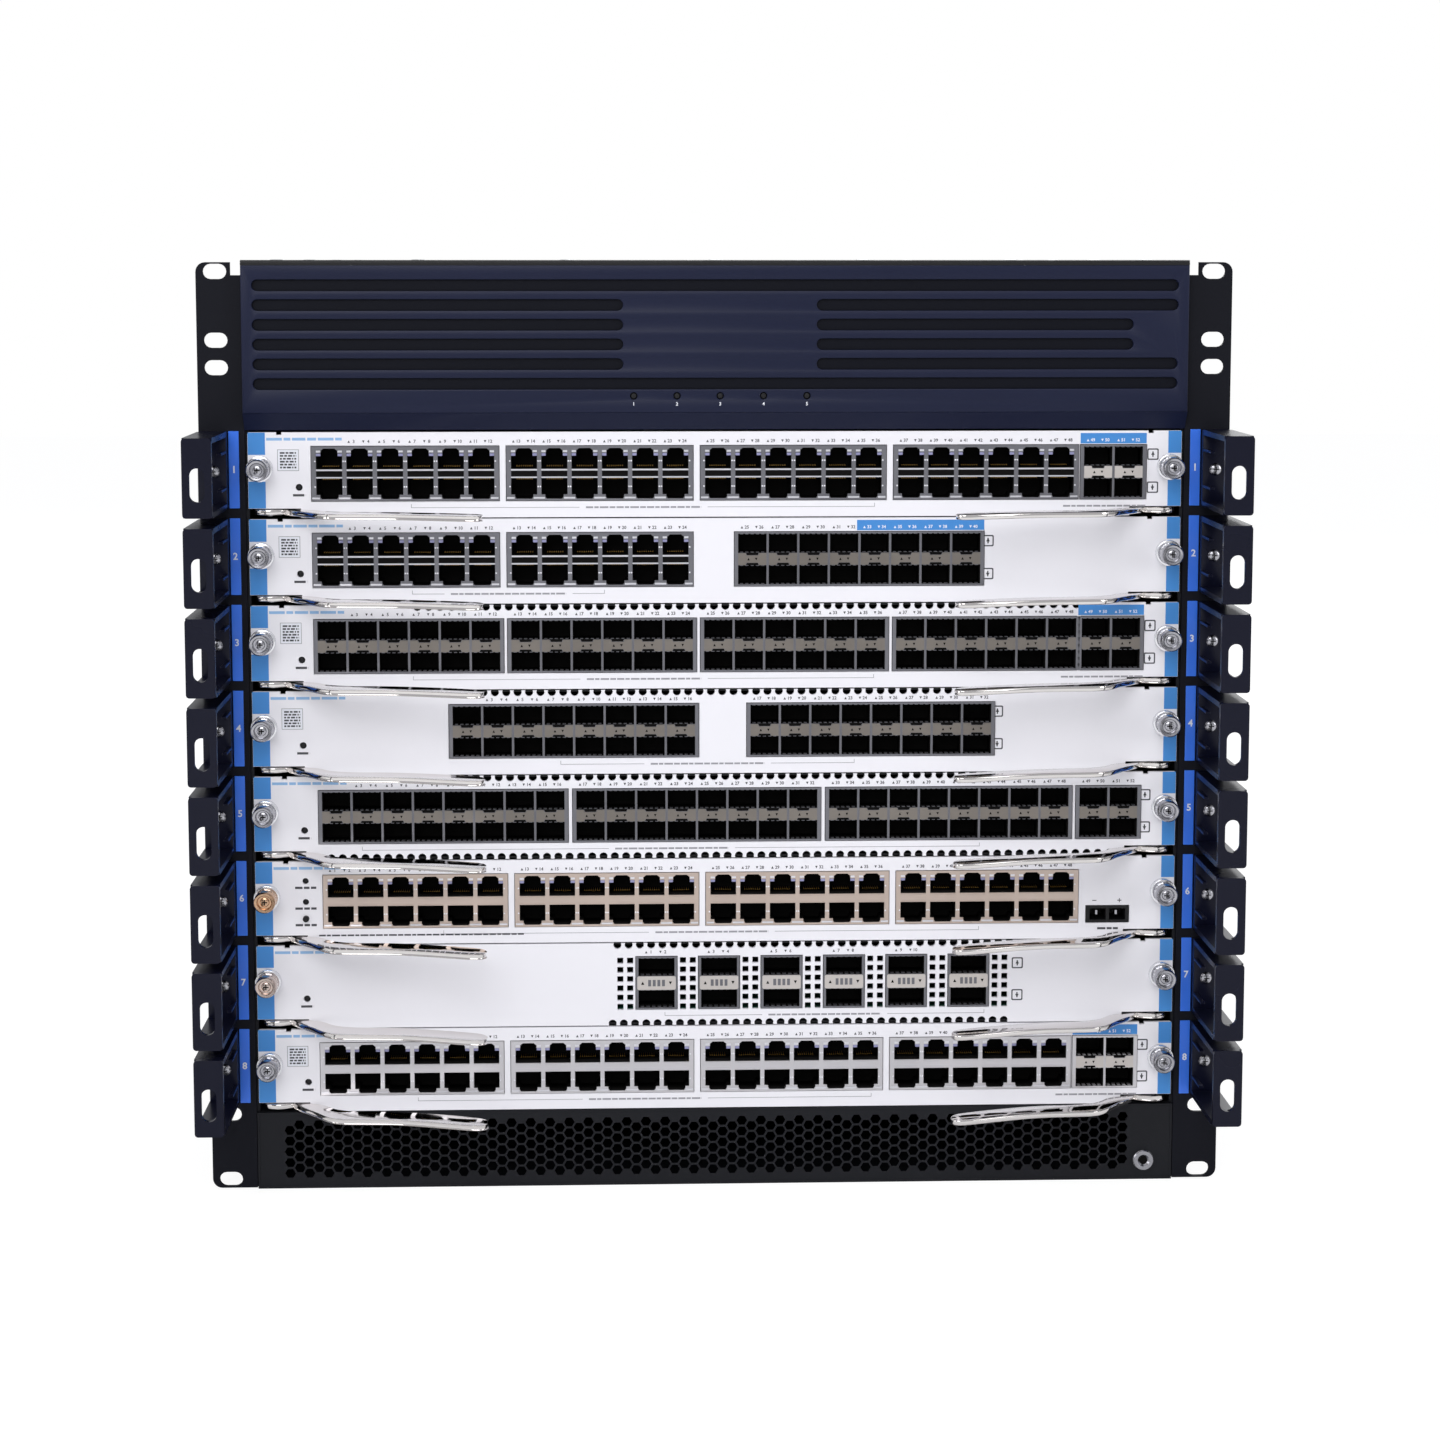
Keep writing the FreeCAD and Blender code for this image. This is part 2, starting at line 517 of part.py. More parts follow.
def card_board(row):
    """A card's circuit board with its port cages, heat sinks, rear plugs and the two lever pins."""
    low = row_low(row)
    top = f"{low} + bandLow"
    solids = [box(f"laminate_{row}", ("-boardHalf", "0", f"{top} - boardGauge"),
                  ("2 * boardHalf", "boardDepth", "boardGauge"))]
    for index, (kind, start, columns) in enumerate(port_groups(row)):
        solids += port_block(f"{row}_{index}", kind, start, columns, low)
    for index in (-1, 0, 1):
        solids.append(box(f"plug_{row}_{index + 1}",
                          (f"{index} * plugPitch - plugWidth / 2",
                           "boardDepth + plugProud - plugDepth", top),
                          ("plugWidth", "plugDepth", "plugHeight")))
    solids.append(box(f"sink_{row}", ("-sinkWidth / 2", "sinkFront", top),
                      ("sinkWidth", "sinkDepth", "sinkBase")))
    for fin in range(-1, 2):
        solids.append(box(f"fin_{row}_{fin + 1}",
                          (f"{fin} * finPitch - finGauge / 2", "sinkFront", f"{top} + sinkBase"),
                          ("finGauge", "sinkDepth", "finHeight")))
    for side, sign in SIDES.items():
        across = f"{sign} * pivotSide"
        collar_low = f"{low} + leverLift + leverGauge + collarGap"
        collar_height = "(bandLow - boardGauge - leverLift - leverGauge - collarGap)"
        pin = prism(f"pin_{row}_{side}", (across, "pivotBack", f"{top} - boardGauge - pinDrop"), 8,
                    "pinRadius", f"pinDrop - {collar_height}")
        collar = prism(f"collar_{row}_{side}", (across, "pivotBack", collar_low), 6,
                       "collarRadius", collar_height)
        solids.append(fuse(f"pivot_{row}_{side}", [pin, collar]))
    if row == 6:
        left = "bodyWidth / 2 - inletInset"
        body = box("inlet_block", (left, "-panelGauge - cageProud", f"{low} + inletLow"),
                   ("inletWidth", "cageDepth / 2", "inletHeight"))
        holes = [box(f"inlet_pole_{index}", (f"{left} + inletWidth * {0.08 + 0.46 * index:.2f}",
                                             "-panelGauge - 2 * cageProud", f"{low} + inletLow + cageWall"),
                     ("inletWidth * 0.38", "portDepth", "inletHeight - 2 * cageWall")) for index in (0, 1)]
        solids.append(cut("power_inlet", body, holes))
        solids.append(box("button_switch",
                          ("buttonSide - 3 * buttonRadius", "buttonStem + buttonTravel + freeGap", top),
                          ("6 * buttonRadius", "switchDepth", "buttonLift - bandLow + 2 * buttonRadius")))
    keep(f"card_board_{row}", group(f"card_board_{row}", solids))


def corners_round(radius, start, sweep, count):
    """Corners evenly spaced round a centre, as pairs of expressions."""
    turns = [math.radians(start + sweep * index / count) for index in range(count)]
    return [(f"{math.cos(turn):.4f} * {radius}", f"{math.sin(turn):.4f} * {radius}") for turn in turns]


def lever_outline(sign):
    """The lever seen from above: a round root on its pin, a rise clear of the panel and a flared handle."""
    inward_forward = [
        ("bendStart - 19", "leverRise - 20"),
        ("bendStart - 12", "leverRise - 14"),
        ("bendStart - 5", "leverRise - 5"),
        ("bendStart", "leverRise"),
        ("flareStart", "leverRise + 1.5"),
        ("leverLength - 5", "tipRise"),
        ("leverLength", "tipRise - leverWidth / 5"),
        ("leverLength - 1.5", "tipRise - leverWidth * 3 / 4"),
        ("leverLength - 5", "tipRise - leverWidth"),
        ("flareStart", "leverRise + 1.5 - leverWidth"),
        ("bendStart + 6", "leverRise - leverWidth"),
        ("bendStart - 4", "leverRise - leverWidth * 4 / 3"),
        ("throatReach", "throatFront"),
        ("throatReach", "throatFront - 3.5"),
    ]
    inward_forward += corners_round("rootRadius", -30, -300, 6)
    return [(f"{sign} * (pivotSide - ({inward}))", f"pivotBack - ({forward})")
            for inward, forward in inward_forward]


def lever(row, side, sign):
    body = new_body(f"lever_{side}_{row}")
    plan = sketch_on(body, f"lever_plan_{side}_{row}", "XY_Plane")
    add_outline(plan, lever_outline(sign))
    bore = f"(pinRadius + runningGap) * {1 / math.cos(math.pi / 8):.5f}"
    add_outline(plan, [(f"{sign} * pivotSide + ({across})", f"pivotBack + ({along})")
                       for across, along in corners_round(bore, 0, 360, 8)])
    pad(body, plan, "leverGauge")
    place(body, ("0", "0", f"{row_low(row)} + leverLift"))


def thumbscrew(row, side, sign):
    """A captive screw: faceted knob, driver recess, threaded shank."""
    tag = f"{side}_{row}"
    across = f"{sign} * screwSide"
    lift = f"{row_low(row)} + screwLift"
    face = "-panelGauge - freeGap"
    knob = prism(f"knob_{tag}", (across, f"{face} - knobLength", lift), 12, "knobRadius", "knobLength", "y")
    shank = prism(f"shank_{tag}", (across, face, lift), 8, "screwRadius", "screwLength", "y")
    recess = prism(f"recess_{tag}", (across, f"{face} - knobLength - recessDepth", lift), 4,
                   "recessRadius", "2 * recessDepth", "y")
    keep(f"thumbscrew_{tag}", cut(f"thumbscrew_{tag}", fuse(f"screw_solid_{tag}", [knob, shank]), [recess]))


def mode_button():
    """The push-button through card 6's panel, kept by a flange behind the plate."""
    lift = f"{row_low(6)} + buttonLift"
    stem = prism("button_stem", ("buttonSide", "-panelGauge - buttonProud", lift), 12, "buttonRadius",
                 "panelGauge + buttonProud + buttonStem", "y")
    flange = prism("button_flange", ("buttonSide", "freeGap", lift), 8, "2 * buttonRadius",
                   "buttonFlange", "y")
    keep("mode_button", fuse("mode_button", [stem, flange]))


def backplane():
    """The board behind the card bay that every card plugs into."""
    low = "cardBase"
    half = "(bodyWidth / 2 - sheetGauge - freeGap)"
    board = box("backplane_board", (f"-{half}", "shelfDepth - 2 * boardGauge", low),
                (f"2 * {half}", "2 * boardGauge", "8 * rowPitch"))
    solids = [board]
    for row in ROWS:
        for index in (-1, 0, 1):
            solids.append(box(f"socket_{row}_{index + 1}",
                              (f"{index} * plugPitch - plugWidth / 2", "boardDepth + plugProud + freeGap",
                               f"{row_low(row)} + bandLow"),
                              ("plugWidth",
                               "shelfDepth - 2 * boardGauge - boardDepth - plugProud - freeGap",
                               "plugHeight")))
    keep("backplane", group("backplane", solids))


def fan_tray():
    """The rear tray: a plate with the fan's shroud, spokes and motor cup."""
    back = "bodyDepth - trayGauge"
    plate = box("tray_plate", ("trayInset - bodyWidth / 2", back, "supplyBay + trayLift"),
                ("bodyWidth - 2 * trayInset", "trayGauge",
                 "bodyHeight - sheetGauge - freeGap - supplyBay - trayLift"))
    shroud = box("tray_shroud", ("-shroudHalf", f"{back} - shroudDepth", "fanLift - shroudHalf"),
                 ("2 * shroudHalf", "shroudDepth", "2 * shroudHalf"))
    tunnel = prism("tray_tunnel", ("0", f"{back} - 2 * shroudDepth", "fanLift"), 36,
                   "boreFan", "4 * shroudDepth", "y")
    shell = cut("tray_open", fuse("tray_solid", [plate, shroud]), [tunnel])
    spokes = [box("spoke_level", ("-boreFan - trayGauge", back, "fanLift - spokeWidth / 2"),
                  ("2 * boreFan + 2 * trayGauge", "trayGauge", "spokeWidth")),
              box("spoke_upright", ("-spokeWidth / 2", back, "fanLift - boreFan - trayGauge"),
                  ("spokeWidth", "trayGauge", "2 * boreFan + 2 * trayGauge"))]
    motor = prism("motor_cup", ("0", f"{back} - motorDepth", "fanLift"), 24, "motorRadius",
                  "motorDepth + trayGauge", "y")
    socket = rod("motor_bore", ("0", f"{back} - 2 * motorDepth", "fanLift"), "axleRadius + runningGap",
                 "2 * motorDepth - 1", "y")
    keep("fan_tray", cut("fan_tray", fuse("tray_frame", [shell, motor] + spokes), [socket]))


def fan_blade(angle):
    """One flat pitched blade, wider at the tip than at the hub."""
    root = sizes["hubRadius"] - sizes["bladeRoot"]
    tip = sizes["boreFan"] - sizes["bladeGap"]
    half = sizes["bladeThick"] / 2
    corners = [FreeCAD.Vector(side * chord / 2, -half, reach)
               for side, chord, reach in ((-1, sizes["rootChord"], root), (1, sizes["rootChord"], root),
                                          (1, sizes["tipChord"], tip), (-1, sizes["tipChord"], tip))]
    outline = Part.Face(Part.makePolygon(corners + corners[:1]))
    blade = outline.extrude(FreeCAD.Vector(0, sizes["bladeThick"], 0))
    blade.rotate(FreeCAD.Vector(0, 0, 0), FreeCAD.Vector(0, 0, 1), sizes["bladePitch"])
    blade.rotate(FreeCAD.Vector(0, 0, 0), FreeCAD.Vector(0, 1, 0), angle)
    blade.translate(FreeCAD.Vector(0, -sizes["hubLength"] / 2, 0))
    return blade


def fan_rotor():
    """Seven blades on a hub, with the axle that turns in the motor cup."""
    hub = prism("rotor_hub", ("0", "-hubLength", "0"), 28, "hubRadius", "hubLength", "y")
    axle = rod("rotor_axle", ("0", "0", "0"), "axleRadius", "rotorGap + axleLength", "y")
    blades = []
    for index in range(7):
        blade = doc.addObject("Part::Feature", f"rotor_blade_{index}")
        blade.Shape = fan_blade(360 / 7 * index)
        blades.append(blade)
    rotor = fuse("fan_rotor", [hub, axle] + blades)
    keep("fan_rotor", place(rotor, ("0", "bodyDepth - trayGauge - motorDepth - rotorGap", "fanLift")))


def power_supplies():
    """Four pull-out supplies side by side below the fan tray, each with a pull tab and a mains inlet."""
    units = []
    for index in range(4):
        middle = f"{index - 1.5} * supplyPitch"
        case = box(f"supply_case_{index}",
                   (f"{middle} - supplyWidth / 2", "bodyDepth - supplyDepth", "sheetGauge"),
                   ("supplyWidth", "supplyDepth", "supplyHeight"))
        tab = box(f"supply_tab_{index}",
                  (f"{middle} - gripWidth / 2", "bodyDepth", "sheetGauge + gripLift"),
                  ("gripWidth", "gripReach", "gripBar"))
        socket = box(f"supply_socket_{index}", (f"{middle} - socketWidth / 2", "bodyDepth - socketHole",
                                                "supplyHeight - socketHeight - socketDrop"),
                     ("socketWidth", "2 * socketHole", "socketHeight"))
        whole = fuse(f"supply_whole_{index}", [case, tab])
        units.append(cut(f"supply_{index}", whole, [socket]))
    keep("power_supplies", group("power_supplies", units))


def build():
    chassis_shell()
    rack_ears()
    top_bezel()
    intake_grille()
    cable_guides()
    backplane()
    fan_tray()
    fan_rotor()
    power_supplies()
    for row in ROWS:
        card_panel(row)
        card_board(row)
        for side, sign in SIDES.items():
            lever(row, side, sign)
            thumbscrew(row, side, sign)
    mode_button()
    doc.recompute()


def export():
    """Refuses a failed feature or a broken solid, then writes one file for each piece."""
    failed = [item.Name for item in doc.Objects if {"Invalid", "Error"} & set(item.State)]
    if failed:
        raise RuntimeError(f"failed features: {failed}")
    os.makedirs("parts", exist_ok=True)
    for node, solid in nodes.items():
        if solid.Shape.isNull() or not solid.Shape.isValid():
            raise RuntimeError(f"{node} has no valid shape")
        solid.Shape.exportStep(f"parts/{node}.step")
        print(node, len(solid.Shape.Solids), round(solid.Shape.Volume))


build()
export()
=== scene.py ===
import math
import random

import bmesh
import bpy
from mathutils import Matrix, Vector


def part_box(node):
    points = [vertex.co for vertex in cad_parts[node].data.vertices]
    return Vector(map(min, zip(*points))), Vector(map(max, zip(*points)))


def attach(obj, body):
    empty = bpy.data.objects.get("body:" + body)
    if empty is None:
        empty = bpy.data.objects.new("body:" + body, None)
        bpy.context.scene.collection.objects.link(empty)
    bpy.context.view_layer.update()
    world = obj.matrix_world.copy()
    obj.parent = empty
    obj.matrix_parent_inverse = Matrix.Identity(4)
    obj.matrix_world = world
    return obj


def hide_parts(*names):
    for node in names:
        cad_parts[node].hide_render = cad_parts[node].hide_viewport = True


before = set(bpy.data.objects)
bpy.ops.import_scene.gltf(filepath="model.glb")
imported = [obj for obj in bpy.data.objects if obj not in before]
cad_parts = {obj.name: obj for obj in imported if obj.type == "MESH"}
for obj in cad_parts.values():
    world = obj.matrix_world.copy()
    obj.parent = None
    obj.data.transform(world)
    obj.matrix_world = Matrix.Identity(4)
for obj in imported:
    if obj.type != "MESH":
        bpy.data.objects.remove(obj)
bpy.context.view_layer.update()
print("frame loaded:", len(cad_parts), "nodes")

# Shapes are drawn in millimetres and brought to metres when a piece is finished.
mm = 0.001
rows = range(1, 9)
sides = {"left": -1, "right": 1}


def edges(node):
    low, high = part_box(node)
    return [value / mm for value in low], [value / mm for value in high]


def tint(red, green, blue):
    # screen colour 0-255 to the shader's linear colour
    parts = []
    for value in (red, green, blue):
        share = value / 255
        parts.append(share / 12.92 if share <= 0.04045 else ((share + 0.055) / 1.055) ** 2.4)
    return (*parts, 1)


# what a look has unless it says otherwise
plainLook = {"metal": 0.0, "shine": 0.5, "rough": 0.5, "drift": 0.12, "grain": 200, "bump": 0.0}
looks = {
    "whitePaint": {"color": (231, 230, 236), "rough": 0.42, "drift": 0.02, "grain": 900, "bump": 0.02},
    "bandBlue": {"color": (58, 132, 204), "rough": 0.38, "drift": 0.04, "grain": 900, "bump": 0.02},
    "labelBlue": {"color": (52, 112, 226), "rough": 0.3, "drift": 0.08, "grain": 60},
    "inkBlue": {"color": (138, 178, 220), "drift": 0.02, "grain": 300},
    "inkDark": {"color": (62, 62, 68), "drift": 0.05, "grain": 300},
    "inkGrey": {"color": (146, 146, 152), "drift": 0.05, "grain": 300},
    "inkWhite": {"color": (226, 228, 236), "drift": 0.03, "grain": 300},
    "bezelNavy": {"color": (17, 23, 49), "shine": 0.22, "rough": 0.4, "drift": 0.1, "grain": 420, "bump": 0.05},
    # the bezel's navy made darker for the groove floors: painted shade in the grooves
    "grooveShadeNavy": {"color": (7, 9, 20), "shine": 0.12, "rough": 0.45, "grain": 420, "bump": 0.05},
    "guideNavy": {"color": (11, 13, 31), "shine": 0.2, "rough": 0.28, "grain": 500, "bump": 0.04},
    "earBlack": {"color": (15, 16, 24), "shine": 0.12, "rough": 0.55, "grain": 700, "bump": 0.06},
    "shellBlack": {"color": (22, 23, 28), "shine": 0.2, "drift": 0.15, "grain": 700, "bump": 0.08},
    # black for plastic parts and print, and painted shade deep in port mouths, driver slots, the earth socket's bore
    # and behind grilles
    "blackAndHoleShade": {"color": (12, 11, 11), "shine": 0.08, "rough": 0.7, "drift": 0.3, "bump": 0.05},
    "plasticBlack": {"color": (16, 16, 19), "shine": 0.3, "rough": 0.45, "drift": 0.15, "grain": 500, "bump": 0.05},
    "cageDark": {"color": (122, 122, 128), "metal": 0.9, "rough": 0.36, "drift": 0.25, "grain": 160, "bump": 0.03},
    "cageTan": {"color": (196, 180, 170), "metal": 0.8, "rough": 0.36, "drift": 0.2, "grain": 160, "bump": 0.03},
    "cageLight": {"color": (206, 204, 208), "metal": 0.8, "rough": 0.34, "grain": 160, "bump": 0.03},
    "lipBright": {"color": (226, 226, 232), "metal": 0.85, "rough": 0.3, "drift": 0.08, "grain": 120},
    "stripSilver": {"color": (204, 198, 194), "metal": 0.7, "rough": 0.38, "grain": 160, "bump": 0.03},
    "stripDark": {"color": (128, 122, 116), "metal": 0.85, "rough": 0.32, "drift": 0.35, "grain": 160, "bump": 0.04},
    "pipeViolet": {"color": (140, 140, 178), "rough": 0.3, "drift": 0.15},
    "goldContact": {"color": (196, 156, 84), "metal": 1.0, "rough": 0.35, "drift": 0.1},
    "mirrorSteel": {"color": (226, 222, 220), "metal": 1.0, "rough": 0.07, "drift": 0.03, "grain": 90, "bump": 0.01},
    "chrome": {"color": (176, 176, 182), "metal": 1.0, "rough": 0.2, "drift": 0.06, "bump": 0.02},
    "sleeveSilver": {"color": (236, 236, 240), "metal": 0.9, "rough": 0.18, "drift": 0.05, "bump": 0.02},
    "warmSteel": {"color": (204, 168, 138), "metal": 1.0, "rough": 0.22, "drift": 0.06, "bump": 0.02},
    "roseSteel": {"color": (206, 190, 182), "metal": 1.0, "rough": 0.22, "drift": 0.06, "bump": 0.02},
    "lensGreen": {"color": (70, 150, 84), "rough": 0.25, "drift": 0.1},
    "zinc": {"color": (186, 188, 190), "metal": 1.0, "rough": 0.34, "grain": 150, "bump": 0.03},
    "fanGrey": {"color": (46, 47, 52), "rough": 0.42, "grain": 300, "bump": 0.05},
    "boardGreen": {"color": (22, 74, 58), "rough": 0.4, "drift": 0.2, "grain": 240, "bump": 0.06},
    "connectorGrey": {"color": (196, 194, 186), "drift": 0.06, "grain": 400, "bump": 0.04},
}


def addNode(tree, kind, values=()):
    node = tree.nodes.new("ShaderNode" + kind)
    for socket, value in dict(values).items():
        node.inputs[socket].default_value = value
    return node


def makeMaterial(name, look):
    look = {**plainLook, **look}
    material = bpy.data.materials.new(name)
    material.use_nodes = True
    tree = material.node_tree
    links = tree.links
    shader = tree.nodes["Principled BSDF"]
    shader.inputs["Metallic"].default_value = look["metal"]
    shader.inputs["Specular IOR Level"].default_value = look["shine"]
    place = addNode(tree, "TexCoord")
    grain = addNode(tree, "TexNoise", {"Scale": look["grain"], "Detail": 3})
    patch = addNode(tree, "TexNoise", {"Scale": 14, "Detail": 4})
    for noise in (grain, patch):
        links.new(place.outputs["Object"], noise.inputs["Vector"])
    # colour drifts a little from place to place
    colour, drift = tint(*look["color"])[:3], look["drift"]
    ramp = addNode(tree, "Mix")
    ramp.data_type = "RGBA"
    ramp.inputs[6].default_value = (*[part * (1 - drift) for part in colour], 1)
    ramp.inputs[7].default_value = (*[min(1, part * (1 + drift)) for part in colour], 1)
    links.new(patch.outputs["Fac"], ramp.inputs[0])
    links.new(ramp.outputs[2], shader.inputs["Base Color"])
    # and so does the gloss
    gloss = addNode(tree, "MapRange", {"To Min": look["rough"] * 0.85, "To Max": look["rough"] * 1.15})
    links.new(patch.outputs["Fac"], gloss.inputs["Value"])
    links.new(gloss.outputs["Result"], shader.inputs["Roughness"])
    if look["bump"]:
        bump = addNode(tree, "Bump", {"Strength": look["bump"], "Distance": 0.0005})
        links.new(grain.outputs["Fac"], bump.inputs["Height"])
        links.new(bump.outputs["Normal"], shader.inputs["Normal"])
    return material


finish = {name: makeMaterial(name, look) for name, look in looks.items()}
print("materials made:", len(finish))

weld = 0.0005
gap = 0.02    # keeps the faces of neighbouring parts from lying in one plane


def addObject(name, data):
    made = bpy.data.objects.new(name, data)
    bpy.context.scene.collection.objects.link(made)
    return made


def newPiece(name, mesh, materials, body, stands=None, smooth=None):
    # mesh is a bmesh in millimetres; it is freed here
    bmesh.ops.scale(mesh, vec=(mm, mm, mm), verts=mesh.verts)
    data = bpy.data.meshes.new(name)
    mesh.to_mesh(data)
    mesh.free()
    for label in materials:
        data.materials.append(finish[label])
    piece = addObject(name, data)
    if smooth:
        data.shade_smooth()
        data.set_sharp_from_angle(angle=math.radians(smooth))
    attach(piece, body)
    if stands:
        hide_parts(*stands)


def block(mesh, low, high, look=0, bevel=0.0, segments=1):
    low, high = Vector([min(a, b) for a, b in zip(low, high)]), Vector([max(a, b) for a, b in zip(low, high)])
    verts = bmesh.ops.create_cube(mesh, size=1)["verts"]
    bmesh.ops.scale(mesh, vec=high - low, verts=verts)
    bmesh.ops.translate(mesh, vec=(low + high) / 2, verts=verts)
    for face in {face for vert in verts for face in vert.link_faces}:
        face.material_index = look
    if bevel:
        borders = list({edge for vert in verts for edge in vert.link_edges})
        bmesh.ops.bevel(mesh, geom=borders, offset=bevel, affect="EDGES", segments=segments, profile=0.5, material=-1)


def turn(mesh, profile, centre, along="y", steps=32, look=0, shape=None, closed=False):
    # profile: pairs of radius and place along the axis, with both ends on the axis unless it is closed;
    # shape works on it once it's turned
    axis = Vector([float(letter == along) for letter in "xyz"])
    out = Vector((1, 0, 0)) if along == "z" else Vector((0, 0, 1))
    small = bmesh.new()
    verts = [small.verts.new(Vector(centre) + out * radius + axis * place) for radius, place in profile]
    wires = [small.edges.new(pair) for pair in zip(verts, verts[1:] + verts[:1] if closed else verts[1:])]
    bmesh.ops.spin(small, geom=verts + wires, cent=centre, axis=axis, dvec=(0, 0, 0), angle=2 * math.pi,
                   steps=steps, use_merge=True, use_duplicate=False)
    bmesh.ops.remove_doubles(small, verts=small.verts, dist=weld)
    bmesh.ops.recalc_face_normals(small, faces=small.faces)
    if shape:
        shape(small)
    data = bpy.data.meshes.new("turned")
    small.to_mesh(data)
    small.free()
    addMesh(mesh, data, look)


def circle(across, up, radius, count=16, first=0.0):
    return [(across + radius * math.cos(first + 2 * math.pi * step / count),
             up + radius * math.sin(first + 2 * math.pi * step / count)) for step in range(count)]


def rectangle(left, low, right, high):
    return [(left, low), (right, low), (right, high), (left, high)]


def arc(across, up, radius, start, sweep, steps):
    # points round a centre, with its angles in degrees
    angles = [math.radians(start + sweep * step / steps) for step in range(steps + 1)]
    return [(across + radius * math.cos(angle), up + radius * math.sin(angle)) for angle in angles]


def rounded(left, low, right, high, radius, count=5):
    points = []
    for across, up, start in ((right - radius, low + radius, -90), (right - radius, high - radius, 0),
                              (left + radius, high - radius, 90), (left + radius, low + radius, 180)):
        points += arc(across, up, radius, start, 90, count)
    return points


def stadium(left, right, up, radius, count=8):
    return arc(right - radius, up, radius, -90, 180, count) + arc(left + radius, up, radius, 90, 180, count)


def meshOf(curve):
    holder = addObject(curve.name, curve)
    data = bpy.data.meshes.new_from_object(holder.evaluated_get(bpy.context.evaluated_depsgraph_get()))
    bpy.data.objects.remove(holder)
    bpy.data.curves.remove(curve)
    small = bmesh.new()
    small.from_mesh(data)
    bmesh.ops.remove_doubles(small, verts=small.verts, dist=weld)
    small.to_mesh(data)
    small.free()
    return data


def sheet(mesh, outlines, front, back, facing="front", look=0, rim=0.0, smooth=None):
    # a flat plate with holes, drawn as a filled curve; facing says which way its outline lies
    curve = bpy.data.curves.new("outline", "CURVE")
    curve.dimensions = "2D"
    curve.fill_mode = "BOTH"
    curve.extrude = abs(back - front) / 2 - rim
    curve.bevel_depth = rim
    curve.bevel_resolution = 1
    curve.offset = -rim
    for outline in outlines:
        spline = curve.splines.new(smooth or "POLY")
        spline.points.add(len(outline) - 1)
        for point, spot in zip(spline.points, outline):
            point.co = (spot[0], spot[1], 0, 1)
        if smooth:
            spline.order_u = 3
            spline.resolution_u = 4
        spline.use_cyclic_u = True
    data = meshOf(curve)
    middle = (front + back) / 2
    places = {
        "front": Matrix.Translation((0, middle, 0)) @ Matrix.Rotation(math.pi / 2, 4, "X"),
        "top": Matrix.Translation((0, 0, middle)),
        "side": Matrix.Translation((middle, 0, 0)) @ Matrix.Rotation(math.pi / 2, 4, "Z")
        @ Matrix.Rotation(math.pi / 2, 4, "X"),
    }
    data.transform(places[facing])
    addMesh(mesh, data, look)


def addMesh(mesh, data, look):
    # brings a ready mesh into the bmesh and removes it
    data.polygons.foreach_set("material_index", [look] * len(data.polygons))
    mesh.from_mesh(data)
    bpy.data.meshes.remove(data)


glyphs = {}


def letters(mesh, text, across, up, size, front, look=0, depth=0.04):
    # plain figures, centred at a spot on a plane that faces the front
    if (text, size) not in glyphs:
        curve = bpy.data.curves.new("figures", "FONT")
        curve.body = text
        curve.size = size
        curve.extrude = depth / 2
        curve.offset = size * 0.022
        curve.resolution_u = 2
        curve.align_x = curve.align_y = "CENTER"
        glyphs[text, size] = meshOf(curve)
    data = glyphs[text, size].copy()
    data.transform(Matrix.Translation((across, front - depth / 2, up)) @ Matrix.Rotation(math.pi / 2, 4, "X"))
    addMesh(mesh, data, look)


def greek(mesh, left, right, up, height, front, look=0, words=(5, 3, 6, 4)):
    # a line of small marks that only reads as print from afar
    spot = left
    index = 0
    while spot < right:
        stop = min(right, spot + words[index % len(words)] * height * 0.8)
        block(mesh, (spot, front - 0.03, up - height / 2), (stop, front, up + height / 2), look)
        spot = stop + height * 0.6
        index += 1


def setCamera():
    view = {"across": -46, "back": -1350, "up": 441.5, "turn": 2.01, "tilt": 6.23, "reach": 2885, "shift": -0.1,
            "sensor": 36, "pixels": 1440}
    camera = bpy.data.cameras.new("camera")
    camera.sensor_width = view["sensor"]
    camera.lens = view["reach"] / view["pixels"] * view["sensor"]
    camera.shift_y = view["shift"]
    camera.clip_start = 0.05
    holder = addObject("camera", camera)
    holder.location = (view["across"] * mm, view["back"] * mm, view["up"] * mm)
    holder.rotation_euler = (math.radians(90 - view["tilt"]), 0, math.radians(-view["turn"]))
    bpy.context.scene.camera = holder


def mixOutputs(tree, share, first, second, output):
    # share's first output, the camera ray for a light path, leads from the first shader to the second
    mix = addNode(tree, "MixShader")
    for socket, source in enumerate((share, first, second)):
        tree.links.new(source.outputs[0], mix.inputs[socket])
    tree.links.new(mix.outputs[0], tree.nodes[output].inputs["Surface"])


